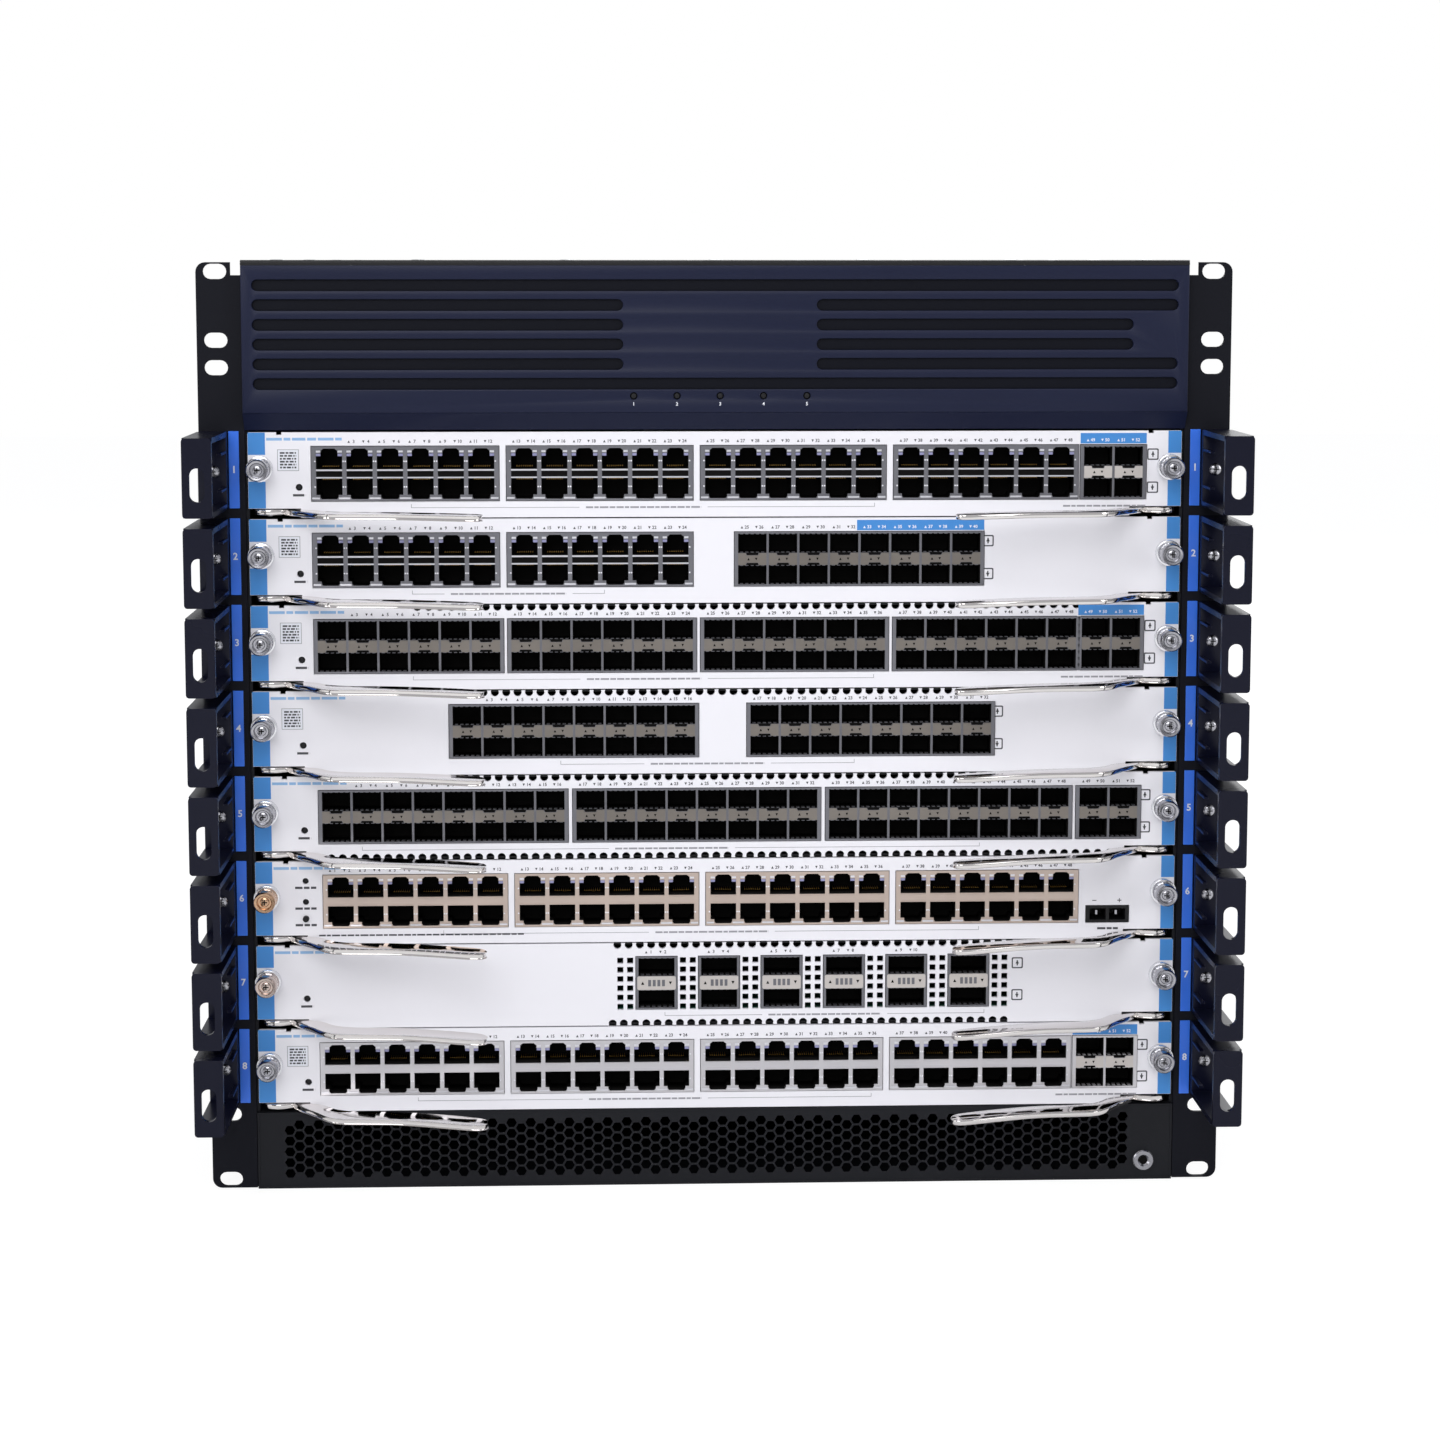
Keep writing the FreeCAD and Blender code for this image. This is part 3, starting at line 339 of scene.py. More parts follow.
def setStage():
    floor = bpy.data.meshes.new("floor")
    ground = bmesh.new()
    bmesh.ops.create_grid(ground, x_segments=1, y_segments=1, size=6)
    ground.to_mesh(floor)
    ground.free()
    piece = addObject("floor", floor)
    material = bpy.data.materials.new("floorWhite")
    material.use_nodes = True
    tree = material.node_tree
    plain = tree.nodes["Principled BSDF"]
    plain.inputs["Base Color"].default_value = (0.9, 0.9, 0.9, 1)
    plain.inputs["Roughness"].default_value = 0.9
    glow = addNode(tree, "Emission", {"Color": (1, 1, 1, 1), "Strength": 1.19})
    share = addNode(tree, "Math", {1: 0.72})
    share.operation = "MULTIPLY"
    tree.links.new(addNode(tree, "LightPath").outputs["Is Camera Ray"], share.inputs[0])
    mixOutputs(tree, share, plain, glow, "Material Output")
    floor.materials.append(material)

    world = bpy.data.worlds.new("studio")
    world.use_nodes = True
    tree = world.node_tree
    soft = tree.nodes["Background"]
    soft.inputs["Color"].default_value = (0.95, 0.96, 0.99, 1)
    soft.inputs["Strength"].default_value = 0.55
    white = addNode(tree, "Background", {"Color": (1, 1, 1, 1), "Strength": 1.0})
    mixOutputs(tree, addNode(tree, "LightPath"), soft, white, "World Output")
    bpy.context.scene.world = world
    bpy.context.scene.view_settings.view_transform = "Standard"

    lamps = {
        "lampFront": {"spot": (-0.5, -2.2, 1.7), "aim": (0, 0, 0.22), "size": 1.6, "power": 30},
        "lampRight": {"spot": (2.1, -1.4, 1.0), "aim": (0, 0, 0.2), "size": 1.2, "power": 14},
        "lampLeft": {"spot": (-2.2, -0.9, 0.9), "aim": (0, 0.1, 0.2), "size": 1.2, "power": 12},
        "lampBack": {"spot": (0.6, 2.4, 1.6), "aim": (0, 0.4, 0.25), "size": 1.6, "power": 22},
    }
    for name, lamp in lamps.items():
        light = bpy.data.lights.new(name, "AREA")
        light.size = lamp["size"]
        light.energy = lamp["power"]
        holder = addObject(name, light)
        holder.location = lamp["spot"]
        holder.rotation_euler = (Vector(lamp["aim"]) - Vector(lamp["spot"])).to_track_quat("-Z", "Y").to_euler()


setCamera()
setStage()
print("camera, floor and light set")

# Where things are, from the frame.
lever = {"pivotSide": 209.5, "pivotBack": 4.5, "bore": 2.15}
panelLow, panelHigh = edges("card_panel_1")
plane = panelLow[1]                     # the panels' front faces
panelHalf = panelHigh[0]
rowLow = {row: edges(f"card_panel_{row}")[0][2] for row in rows}
rowHigh = {row: edges(f"card_panel_{row}")[1][2] for row in rows}
band = {"low": 7.8, "height": 25.6, "proud": 0.3}
pitches = {"jack": 14.15, "cage": 14.42}
wall, quadWidth, portDepth = 1.2, 19.6, 13.5
wideStarts = (-189.3, -98.6, -7.9, 82.8)
groups = {
    1: [("jack", start, 6) for start in wideStarts] + [("cage", 170.9, 2)],
    2: [("jack", start, 6) for start in wideStarts[:2]] + [("cage", 8.1, 8)],
    3: [("cage", start, 6) for start in wideStarts] + [("cage", 170.9, 2)],
    4: [("cage", -126.5, 8), ("cage", 14.0, 8)],
    5: [("cage", start, 8) for start in (-188.4, -68.5, 51.4)] + [("cage", 170.9, 2)],
    6: [("jack", start, 6) for start in (-186.8, -96.1, -5.4, 85.3)],
    7: [("quad", -38.8 + 29.87 * index, 1) for index in range(6)],
    8: [("jack", start, 6) for start in wideStarts] + [("cage", 170.9, 2)],
}


def groupWidth(kind, columns):
    return quadWidth if kind == "quad" else columns * pitches[kind] + 2 * wall


def columnMiddles(kind, start, columns):
    if kind == "quad":
        return [start + quadWidth / 2]
    return [start + wall + pitches[kind] * (index + 0.5) for index in range(columns)]


def portBody(mesh, start, stop, base, front, holes, mouths, gauge):
    # the face with its holes, the dark walls of the mouths behind it and the case behind those; the walls and the
    # block at their back are black, partly the housings' own plastic and partly painted shade deep in the ports
    top = base + band["height"]
    dark = front + portDepth
    sheet(mesh, [rectangle(start, base, stop, top)] + holes, front, front + gauge)
    inner = rectangle(start + 0.3, base + 0.3, stop - 0.3, top - 0.3)
    sheet(mesh, [inner] + mouths, front + gauge + gap, dark, look=1)
    block(mesh, (start, dark + gap, base), (stop, dark + 1, top), 1)
    block(mesh, (start, dark + 1 + gap, base), (stop, front + 45, top), 0, 0.3)


jack = {"half": 6.1, "notch": 3.6, "slope": 4.3, "skin": 0.28}
springTab = [(0, -0.35), (0.35, -0.2), (0.5, 0.1), (0, 0.12)]


def jackOutline(middle, base, flip):
    # the latch's notch is at the bottom of a lower port and at the top of an upper one
    if not flip:
        shape = [(-jack["notch"], 0.9), (jack["notch"], 0.9), (jack["slope"], 1.9), (jack["slope"], 2.9),
                 (jack["half"], 2.9), (jack["half"], 10.6), (-jack["half"], 10.6), (-jack["half"], 2.9),
                 (-jack["slope"], 2.9), (-jack["slope"], 1.9)]
    else:
        shape = [(-jack["half"], 14.9), (jack["half"], 14.9), (jack["half"], 22.3), (3.9, 22.3), (3.9, 23.5),
                 (2.6, 24.6), (-2.6, 24.6), (-3.9, 23.5), (-3.9, 22.3), (-jack["half"], 22.3)]
    return [(middle + across, base + up) for across, up in shape]


def jackGroup(mesh, start, columns, base, front, plain):
    # materials: 0 metal, 1 black with painted shade in the mouths, 2 bright lip, 3 violet pipe, 4 gold
    stop, top, skin = start + groupWidth("jack", columns), base + band["height"], jack["skin"]
    middles = columnMiddles("jack", start, columns)
    holes = [jackOutline(middle, base, flip) for middle in middles for flip in (False, True)]
    portBody(mesh, start, stop, base, front, holes, holes, 0.6)
    for left, low, right, high in ((start, base, start + skin, top), (stop - skin, base, stop, top),
                                   (start + skin, base, stop - skin, base + skin),
                                   (start + skin, top - skin, stop - skin, top)):
        block(mesh, (left, front + 0.6 + gap, low), (right, front + portDepth, high), 0)
    for middle in middles:
        left, right = middle - jack["half"], middle + jack["half"]
        # the lips above and below the middle bar
        for low, high in ((10.62, 11.3), (14.1, 14.9)):
            block(mesh, (left, front - 0.25, base + low), (right, front + 0.3, base + high), 0 if plain else 2, 0.1)
        if not plain:
            block(mesh, (left, front - 0.05, base + 11.35), (right, front + 0.3, base + 14.05), 1, 0.1)
        for side in (-1, 1):
            # light pipes in the upper port's corners
            near, far = middle + side * 4.0, middle + side * 6.05
            block(mesh, (near, front + 0.1, base + 21.0), (far, front + 1.2, base + 22.2), 3, 0.12)
            block(mesh, (near, front - 0.1, base + 22.7), (far, front + 0.3, base + 23.7), 2, 0.1)
            # spring tabs on the walls between ports
            for up in (6.6, 18.6):
                turn(mesh, springTab, (middle + side * (jack["half"] + 0.48), front, base + up), steps=8, look=2)
        for wire in range(8):
            across = middle + (wire - 3.5) * 1.02
            for up in (9.5, 15.6):
                block(mesh, (across - 0.17, front + 7.5, base + up),
                      (across + 0.17, front + 12.5, base + up + 0.4), 4)
    # stepped feet between the lower ports
    for index in range(columns + 1):
        middle = start + wall + pitches["jack"] * index
        reach = pitches["jack"] / 2 - jack["slope"] - 0.1
        left = max(start + 0.3, middle - reach)
        right = min(stop - 0.3, middle + reach)
        block(mesh, (left, front - 0.2, base + 0.9), (right, front + 0.3, base + 1.8), 2, 0.12)
        block(mesh, (left + 0.5, front - 0.12, base + 1.8), (right - 0.5, front + 0.3, base + 2.7), 0, 0.12)


cage = {"half": 6.7, "low": 0.8, "middleLow": 9.9, "middleHigh": 15.7, "high": 24.8, "notch": 2.6}


def upsideDown(shape):
    # the upper ports are the lower ones turned over
    return [(across, band["height"] - up) for across, up in shape]


def cageOutline(middle, base, flip):
    half, notch, edge = cage["half"], cage["notch"], cage["middleLow"]
    shape = [(-half, cage["low"]), (half, cage["low"]), (half, edge), (notch + 0.4, edge), (notch, edge + 1.1),
             (-notch, edge + 1.1), (-notch - 0.4, edge), (-half, edge)]
    return [(middle + across, base + up) for across, up in (upsideDown(shape) if flip else shape)]


def mouthsOf(port, middle, base):
    return [rectangle(middle - port["half"], base + low, middle + port["half"], base + high)
            for low, high in ((port["low"], port["middleLow"]), (port["middleHigh"], port["high"]))]


def springFingers(mesh, port, middle, base, front, count, pitch, half):
    # fingers just inside each mouth
    for finger in range(count):
        across = middle + (finger - (count - 1) / 2) * pitch
        for up in (port["low"] + 0.15, port["middleLow"] - 0.4, port["middleHigh"] + 0.15, port["high"] - 0.4):
            block(mesh, (across - half, front + 1.0, base + up), (across + half, front + 4.0, base + up + 0.22), 0)


def arrow(mesh, across, up, size, front, look, down=False):
    sign = -1 if down else 1
    points = [(across - size / 2, up - sign * size / 2), (across + size / 2, up - sign * size / 2),
              (across, up + sign * size / 2)]
    sheet(mesh, [points], front - 0.04, front, look=look)


def cageGroup(mesh, start, columns, base, front):
    # materials as for the jacks, and 5 the strip between the ports
    middles = columnMiddles("cage", start, columns)
    holes = [cageOutline(middle, base, flip) for middle in middles for flip in (False, True)]
    mouths = [mouth for middle in middles for mouth in mouthsOf(cage, middle, base)]
    portBody(mesh, start, start + groupWidth("cage", columns), base, front, holes, mouths, 0.5)
    reach, edge = cage["half"] - 0.1, cage["middleLow"] + 0.1
    lower = [(-reach, edge), (-3.2, edge), (-2.8, edge + 1.1), (2.8, edge + 1.1), (3.2, edge), (reach, edge)]
    for middle in middles:
        strip = [(middle + across, base + up) for across, up in lower + upsideDown(lower[::-1])]
        sheet(mesh, [strip], front - 0.2, front - 0.01, look=5)
        for side in (-1, 1):
            arrow(mesh, middle + side * 1.8, base + band["height"] / 2, 1.2, front - 0.2, 1, down=side > 0)
        springFingers(mesh, cage, middle, base, front, 5, 2.5, 0.7)
    for index in range(1, columns):
        middle = start + wall + pitches["cage"] * index
        block(mesh, (middle - 0.2, front - 0.12, base + 0.6),
              (middle + 0.2, front + 0.2, base + band["height"] - 0.6),
              0, 0.06)


quad = {"half": 8.6, "low": 0.7, "middleLow": 9.4, "middleHigh": 16.2, "high": 24.9, "slotPitch": 2.2}


def quadGroup(mesh, start, base, front):
    stop = start + quadWidth
    middle = (start + stop) / 2
    holes = mouthsOf(quad, middle, base)
    portBody(mesh, start, stop, base, front, holes, holes, 0.5)
    slots = []
    for index in range(4):
        across = middle + (index - 1.5) * quad["slotPitch"]
        slots.append(rectangle(across - 0.7, base + 11.2, across + 0.7, base + 14.4))
    strip = rounded(start + 0.6, base + quad["middleLow"] + 0.1, stop - 0.6, base + quad["middleHigh"] - 0.1, 0.8, 3)
    sheet(mesh, [strip] + slots, front - 0.3, front - 0.01, look=5)
    for side in (-1, 1):
        arrow(mesh, middle + side * 6.6, base + band["height"] / 2, 1.5, front - 0.3, 1, down=side > 0)
    springFingers(mesh, quad, middle, base, front, 6, 2.7, 0.8)


board = {"gauge": 1.6, "sinkWidth": 90, "sinkFront": 150, "sinkBack": 230, "plugWidth": 62, "plugPitch": 130}
cageLooks = {6: "cageTan", 8: "cageLight"}


def makeBoard(row):
    low, high = edges(f"card_board_{row}")
    base = rowLow[row] + band["low"]
    front = plane - band["proud"]
    ports = bmesh.new()
    for kind, start, columns in groups[row]:
        if kind == "jack":
            jackGroup(ports, start, columns, base, front, row in (6, 8))
        elif kind == "cage":
            cageGroup(ports, start, columns, base, front)
        else:
            quadGroup(ports, start, base, front)
    strip = "stripSilver" if row in (1, 7, 8) else "stripDark"
    case = cageLooks.get(row, "cageDark")
    newPiece(f"ports_{row}", ports, [case, "blackAndHoleShade", "lipBright", "pipeViolet", "goldContact", strip],
             f"card_{row}")

    # laminate, parts, heat sink and the rear plugs
    parts = bmesh.new()
    half = high[0]
    block(parts, (-half, 0, base - board["gauge"]), (half, high[1] - 6, base - gap), 0, 0.2)
    sinkHalf, sinkFront, sinkBack = board["sinkWidth"] / 2, board["sinkFront"], board["sinkBack"]
    block(parts, (-sinkHalf, sinkFront, base), (sinkHalf, sinkBack, base + 4), 1, 0.4)
    for fin in range(15):
        across = (fin - 7) * 6.2
        block(parts, (across - 0.7, sinkFront, base + 4), (across + 0.7, sinkBack, base + 18), 1, 0.2)
    pick = random.Random(row)
    for spot in range(16):
        across = -190 + 25.3 * spot
        size = pick.choice((9, 12, 17))
        depth = pick.choice((80, 100, 118, 262, 290))
        if abs(across) < 60 and 120 < depth < 250:
            continue
        block(parts, (across - size / 2, depth - size / 2, base), (across + size / 2, depth + size / 2, base + 1.6),
              2, 0.25)
        turn(parts, [(0, 0), (3, 0), (3, 7.5), (2.6, 8), (0, 8)], (across, 335, base), along="z", steps=14, look=2)
    for index in (-1, 0, 1):
        middle = index * board["plugPitch"]
        cells = []
        for cell in range(20):
            for level in range(3):
                left, up = middle - 29 + 3 * cell, base + 2 + 4 * level
                cells.append(rectangle(left, up, left + 1.6, up + 1.6))
        outer = rectangle(middle - board["plugWidth"] / 2, base, middle + board["plugWidth"] / 2, base + 14)
        sheet(parts, [outer] + cells, high[1] - 5, high[1], look=3)
        block(parts, (outer[0][0], high[1] - 18, base), (outer[1][0], high[1] - 5 - gap, base + 14), 3, 0.3)
    # lever pins under the front corners
    foot = rowLow[row] + 4.0
    tip, root = low[2] - foot, base - board["gauge"] - foot
    for sign in sides.values():
        turn(parts, [(0, tip), (1.7, tip), (2.0, tip + 0.3), (2.0, 0), (3.5, 0), (3.5, root), (0, root)],
             (sign * lever["pivotSide"], lever["pivotBack"], foot), along="z", steps=20, look=4)
    if row == 6:
        block(parts, (-199.5, 9.3, base), (-190.5, 15.3, base + 7.7), 2, 0.3)
        inletSlots = (178.2, 187.6)
        slots = [rectangle(left, base + 1.2, left + 7.8, base + 6.8) for left in inletSlots]
        sheet(parts, [rectangle(176.5, base, 197, base + 8)] + slots, front, front + portDepth, look=2)
        block(parts, (176.5, front + portDepth + gap, base), (197, front + 22.5, base + 8), 2, 0.3)
        for left in inletSlots:
            block(parts, (left + 3.4, front + 4, base + 3), (left + 4.4, front + portDepth, base + 5), 4)
    newPiece(f"board_{row}", parts, ["boardGreen", "zinc", "plasticBlack", "connectorGrey", "chrome"],
             f"card_{row}", stands=[f"card_board_{row}"], smooth=35)


for row in rows:
    makeBoard(row)
print("boards and ports made")

panel = {"notchWidth": 24.3, "notchHeight": 4.4, "keyWidth": 2.5, "keyDepth": 1.2, "keyOffset": 204.2,
         "ventRadius": 1.95, "ventInset": 0.9, "ventPitch": 5.36, "screwLift": 23, "screwSide": 213.1}
ventSpans = {
    3: {"top": (-146, 170)}, 4: {"top": (-129, 131)}, 5: {"top": (-146, 170), "bottom": (-188, 192)},
    7: {"top": (-50, 140), "bottom": (-50, 140)},
}
legendSpans = {2: (-143, -53), 4: (-74, 65), 5: (-168, 125), 6: (-130, 125), 7: (-25, 128)}
iconSpots = {1: 205.2, 2: 127.7, 3: 205.1, 4: 133.0, 5: 204.0, 7: 143.8, 8: 204.6}


def ventRun(span, edge, top):
    # half-round cuts in the panel's edge, in the order the outline takes them
    radius, inset = panel["ventRadius"], panel["ventInset"]
    count = int((span[1] - span[0]) / panel["ventPitch"]) + 1
    tuck = math.asin(inset / radius)
    first, centre = (tuck, edge - inset) if top else (math.pi + tuck, edge + inset)
    points = []
    for index in range(count):
        way = index * panel["ventPitch"]
        across = span[1] - way if top else span[0] + way
        for step in range(9):
            angle = first - (math.pi + 2 * tuck) * step / 8
            points.append((across + radius * math.cos(angle), centre + radius * math.sin(angle)))
    return points


def keyway(middle, high):
    half, floor = panel["keyWidth"] / 2, high - panel["keyDepth"]
    return [(middle + half, high), (middle + half, floor), (middle - half, floor), (middle - half, high)]


def makePanel(row):
    low, high = rowLow[row], rowHigh[row] - 0.3
    inner = panelHalf - panel["notchWidth"]
    step = low + panel["notchHeight"]
    key = panel["keyOffset"]
    spans = ventSpans.get(row, {})
    outline = [(-inner, low)]
    if "bottom" in spans:
        outline += ventRun(spans["bottom"], low, False)
    outline += [(inner, low), (inner, step), (panelHalf, step), (panelHalf, high - 0.6), (panelHalf - 0.6, high)]
    outline += keyway(key, high)
    if "top" in spans:
        outline += ventRun(spans["top"], high, True)
    outline += keyway(-key, high)
    outline += [(0.6 - panelHalf, high), (-panelHalf, high - 0.6), (-panelHalf, step), (-inner, step)]
    holes = []
    for kind, start, columns in groups[row]:
        holes.append(rectangle(start - 0.3, low + 7.5, start + groupWidth(kind, columns) + 0.3, low + 33.7))
    for sign in sides.values():
        holes.append(circle(sign * panel["screwSide"], low + panel["screwLift"], 2.6, 20))
    holes.append(circle(-195.1, low + 14.3, 1.65, 16) if row != 6 else circle(-195, low + 12.5, 1.56, 16))
    if row == 6:
        holes += [circle(-195, low + up, 1.5, 16) for up in (30.6, 20.5)]
        holes.append(rectangle(176.2, low + 7.5, 197.3, low + 16.1))
    if row == 7:
        # two columns of square vents beside each port
        for column in range(14):
            for level in range(6):
                across = -43.9 + 29.87 * (column // 2) + (column % 2 - 0.5) * 4.7
                up = low + 9.0 + level * 4.5
                holes.append(rectangle(across - 1.45, up - 1.45, across + 1.45, up + 1.45))
    plate = bmesh.new()
    sheet(plate, [outline] + holes, plane, 0)
    # folded edges behind the plate
    for up in (low + 0.1, high - 0.9):
        block(plate, (-188, gap, up), (188, 7, up + 0.8), 3)
    for sign in sides.values():
        # the fixed sleeve that holds each thumbscrew
        ring = [circle(sign * panel["screwSide"], low + panel["screwLift"], radius, 36) for radius in (6.1, 4.6)]
        sheet(plate, ring, plane - 3.6, plane - gap, look=2, rim=0.3)
    # lamp lenses set back in their holes
    lenses = [(-195.1, 14.3)] if row != 6 else [(-195, 30.6), (-195, 20.5)]
    for across, up in lenses:
        turn(plate, [(0, 0.5), (1.0, 0.7), (1.5, 1.2), (1.5, 4), (0, 4)], (across, plane, low + up), steps=14, look=3)
    newPiece(f"panel_{row}", plate, ["whitePaint", "zinc", "sleeveSilver", "plasticBlack"], f"card_{row}",
             stands=[f"card_panel_{row}"], smooth=30)
    printPanel(row, low, high)


def printPanel(row, low, high):
    # materials: 0 band blue, 1 pale blue ink, 2 dark ink, 3 grey ink, 4 white ink
    ink = bmesh.new()
    step = low + panel["notchHeight"]
    for left, right in ((-panelHalf + 0.1, -210.6), (212.4, panelHalf - 0.1)):
        for bottom, top in ((step + 0.1, low + 17), (low + 29.5, high - 0.1)):
            block(ink, (left, plane - 0.05, bottom), (right, plane, top), 0)
    greek(ink, -210, -175, low + 36.8, 1.3, plane, 1, words=(7, 3, 6, 4))
    if row != 6:
        greek(ink, -198, -192, low + 10.6, 1.1, plane, 2, words=(6,))
    else:
        for up in (27.4, 17.4, 9.4):
            greek(ink, -200, -190, low + up, 1.1, plane, 2, words=(4, 3))
        greek(ink, -189, -92, low + 4.3, 0.8, plane, 2)
        greek(ink, 182, 192, low + 4.8, 1.0, plane, 2)
        # a minus and a plus over the inlet
        for left, right, bottom, top in ((179.5, 181.5, 18.2, 18.6), (191.5, 193.5, 18.2, 18.6),
                                         (192.3, 192.7, 17.4, 19.4)):
            block(ink, (left, plane - 0.03, low + bottom), (right, plane, low + top), 2)
    if row in (1, 2, 3, 4, 8):
        # a bare label place
        block(ink, (-205, plane - 0.08, low + 22), (-195, plane, low + 32), 4, 0.02)
        for left, bottom, right, top in ((-205, 22, -195, 22.25), (-205, 31.75, -195, 32),
                                         (-205, 22, -204.75, 32), (-195.25, 22, -195, 32)):
            block(ink, (left, plane - 0.1, low + bottom), (right, plane - 0.05, low + top), 3)
        for line in range(6):
            greek(ink, -203.8, -196.2, low + 23.6 + 1.36 * line, 0.8, plane - 0.08, 2,
                  words=(1.5 + line % 3, 2, 3, 1))
    number = 1
    for kind, start, columns in groups[row]:
        stop = start + groupWidth(kind, columns)
        blue = kind == "cage" and row != 5 and (columns == 2 or row == 2)
        if blue:
            left = start if row != 2 else start + 57.7
            block(ink, (left, plane - 0.05, low + 34.0), (stop, plane, low + 38.9), 0)
        for column, middle in enumerate(columnMiddles(kind, start, columns)):
            onBlue = blue and (row != 2 or column > 3)
            look, front = (4, plane - 0.05) if onBlue else (2, plane)
            for side in (-1, 1):
                across = middle + side * 3.4
                if number > 2 or row in (6, 7):
                    arrow(ink, across - 1.5, low + 35.6, 1.2, front, look, down=side > 0)
                    letters(ink, str(number), across + 0.8, low + 35.6, 2.1, front, look)
                number += 1
    # the legend below the ports, in its long bracket
    spans = legendSpans.get(row, (-143, 74))
    middle = (spans[0] + spans[1]) / 2
    greek(ink, middle - 27, middle + 27, low + 4.6, 0.85, plane, 3)
    for left, right in ((spans[0], middle - 30), (middle + 30, spans[1])):
        block(ink, (left, plane - 0.03, low + 4.5), (right, plane, low + 4.75), 3)
    for across in spans:
        block(ink, (across - 0.12, plane - 0.03, low + 4.5), (across + 0.12, plane, low + 6.3), 3)
    if row in (1, 3, 8):
        greek(ink, 163, 202, low + 4.6, 0.85, plane, 3)
    if row in iconSpots:
        across = iconSpots[row]
        for up, down in ((28.9, False), (13.3, True)):
            frameLines = [rounded(across - half, low + up - half, across + half, low + up + half, radius, 3)
                          for half, radius in ((2.7, 0.7), (2.1, 0.4))]
            sheet(ink, frameLines, plane - 0.04, plane, look=2)
            arrow(ink, across, low + up + (-0.5 if down else 0.5), 1.7, plane, 2, down=down)
            block(ink, (across - 0.3, plane - 0.04, low + up - 1.3), (across + 0.3, plane, low + up + 1.3), 2)
    newPiece(f"print_{row}", ink, ["bandBlue", "inkBlue", "inkDark", "inkGrey", "inkWhite"], f"card_{row}")


for row in rows:
    makePanel(row)
print("panels made")


def makeLever(row, side, sign):
    low, high = edges(f"lever_{side}_{row}")
    outline = [(-7.6, -4.5), (-8.2, 1.5), (-5.5, 7.0), (0, 8.6), (5.5, 6.8), (9.5, 4.4), (14.3, 3.0), (14.3, 7.0),
               (22, 9.5), (27, 17), (36, 20.8), (46, 21.6), (58, 22.2), (78, 27), (94, 32.4), (99, 34.8),
               (101.5, 40.0), (100.0, 44.4), (96.0, 45.3), (84, 41.6), (70, 37.2), (58, 34.2), (42, 33.4), (31, 32.8),
               (25.5, 28.6), (19, 19.5), (13, 13.4), (8, 7.0), (3, -6.5), (-3, -8.0)]
    body = bmesh.new()
    points = [(sign * (lever["pivotSide"] - inward), lever["pivotBack"] - forward) for inward, forward in outline]
    bore = circle(sign * lever["pivotSide"], lever["pivotBack"], lever["bore"])
    sheet(body, [points, bore], low[2], high[2], facing="top", rim=0.5, smooth="NURBS")
    newPiece(f"handle_{side}_{row}", body, ["mirrorSteel"], f"lever_{side}_{row}",
             stands=[f"lever_{side}_{row}"], smooth=50)


screw = {"radius": 5.1, "steps": 44}
knobLooks = {("left", 6): "warmSteel", ("left", 7): "roseSteel"}


def makeScrew(row, side):
    low, high = edges(f"thumbscrew_{side}_{row}")
    middle = ((low[0] + high[0]) / 2, 0, (low[2] + high[2]) / 2)
    front = low[1]
    radius = screw["radius"]
    body = bmesh.new()
    profile = [(0, front + 1.5), (1.7, front + 1.5), (2.2, front + 1.8), (2.3, front + 2.4),
               (3.1, front + 2.4), (3.3, front + 0.5), (3.6, front + 0.15), (4.5, front), (radius - 0.2, front + 0.4),
               (radius, front + 0.9), (radius, front + 4.2), (radius - 0.5, front + 4.6), (radius - 0.5, front + 5.4),
               (radius, front + 5.8), (radius, front + 8.4), (radius - 0.4, front + 8.8), (4.3, front + 9.0),
               (4.3, front + 12.9), (2.0, front + 13.0),
               (2.0, high[1] - 0.4), (1.6, high[1]), (0, high[1])]

    def grooves(small):
        # fine grooves round the knob
        for vert in small.verts:
            out = Vector((vert.co.x - middle[0], 0, vert.co.z - middle[2]))
            step = round(math.atan2(out.z, out.x) / (2 * math.pi) * screw["steps"])
            if out.length > radius - 0.1 and vert.co.y > front + 5.5 and step % 2:
                vert.co -= out.normalized() * 0.22

    turn(body, profile, middle, steps=screw["steps"], shape=grooves)
    # a dark cross flush in the knob's dimple: painted shade standing for the driver slot
    for wide, tall in ((1.3, 0.28), (0.28, 1.3)):
        block(body, (middle[0] - wide, front + 1.44, middle[2] - tall),
              (middle[0] + wide, front + 1.6, middle[2] + tall), 1)
    metal = knobLooks.get((side, row), "chrome")
    newPiece(f"screw_{side}_{row}", body, [metal, "blackAndHoleShade"], f"thumbscrew_{side}_{row}",
             stands=[f"thumbscrew_{side}_{row}"], smooth=32)


for row in rows:
    for side, sign in sides.items():
        makeLever(row, side, sign)
        makeScrew(row, side)
print("levers and screws made")

bezel = {"wall": 2.5, "grooveDepth": 1.9, "lip": 0.4, "radius": 2.65, "pitch": 9.1, "end": 215, "badge": 194.1,
         "nameLeft": -43.8, "nameRight": 46.1, "lampHeight": 379.2}
lampSpots = (-39.0, -18.9, 1.2, 21.4, 41.6)


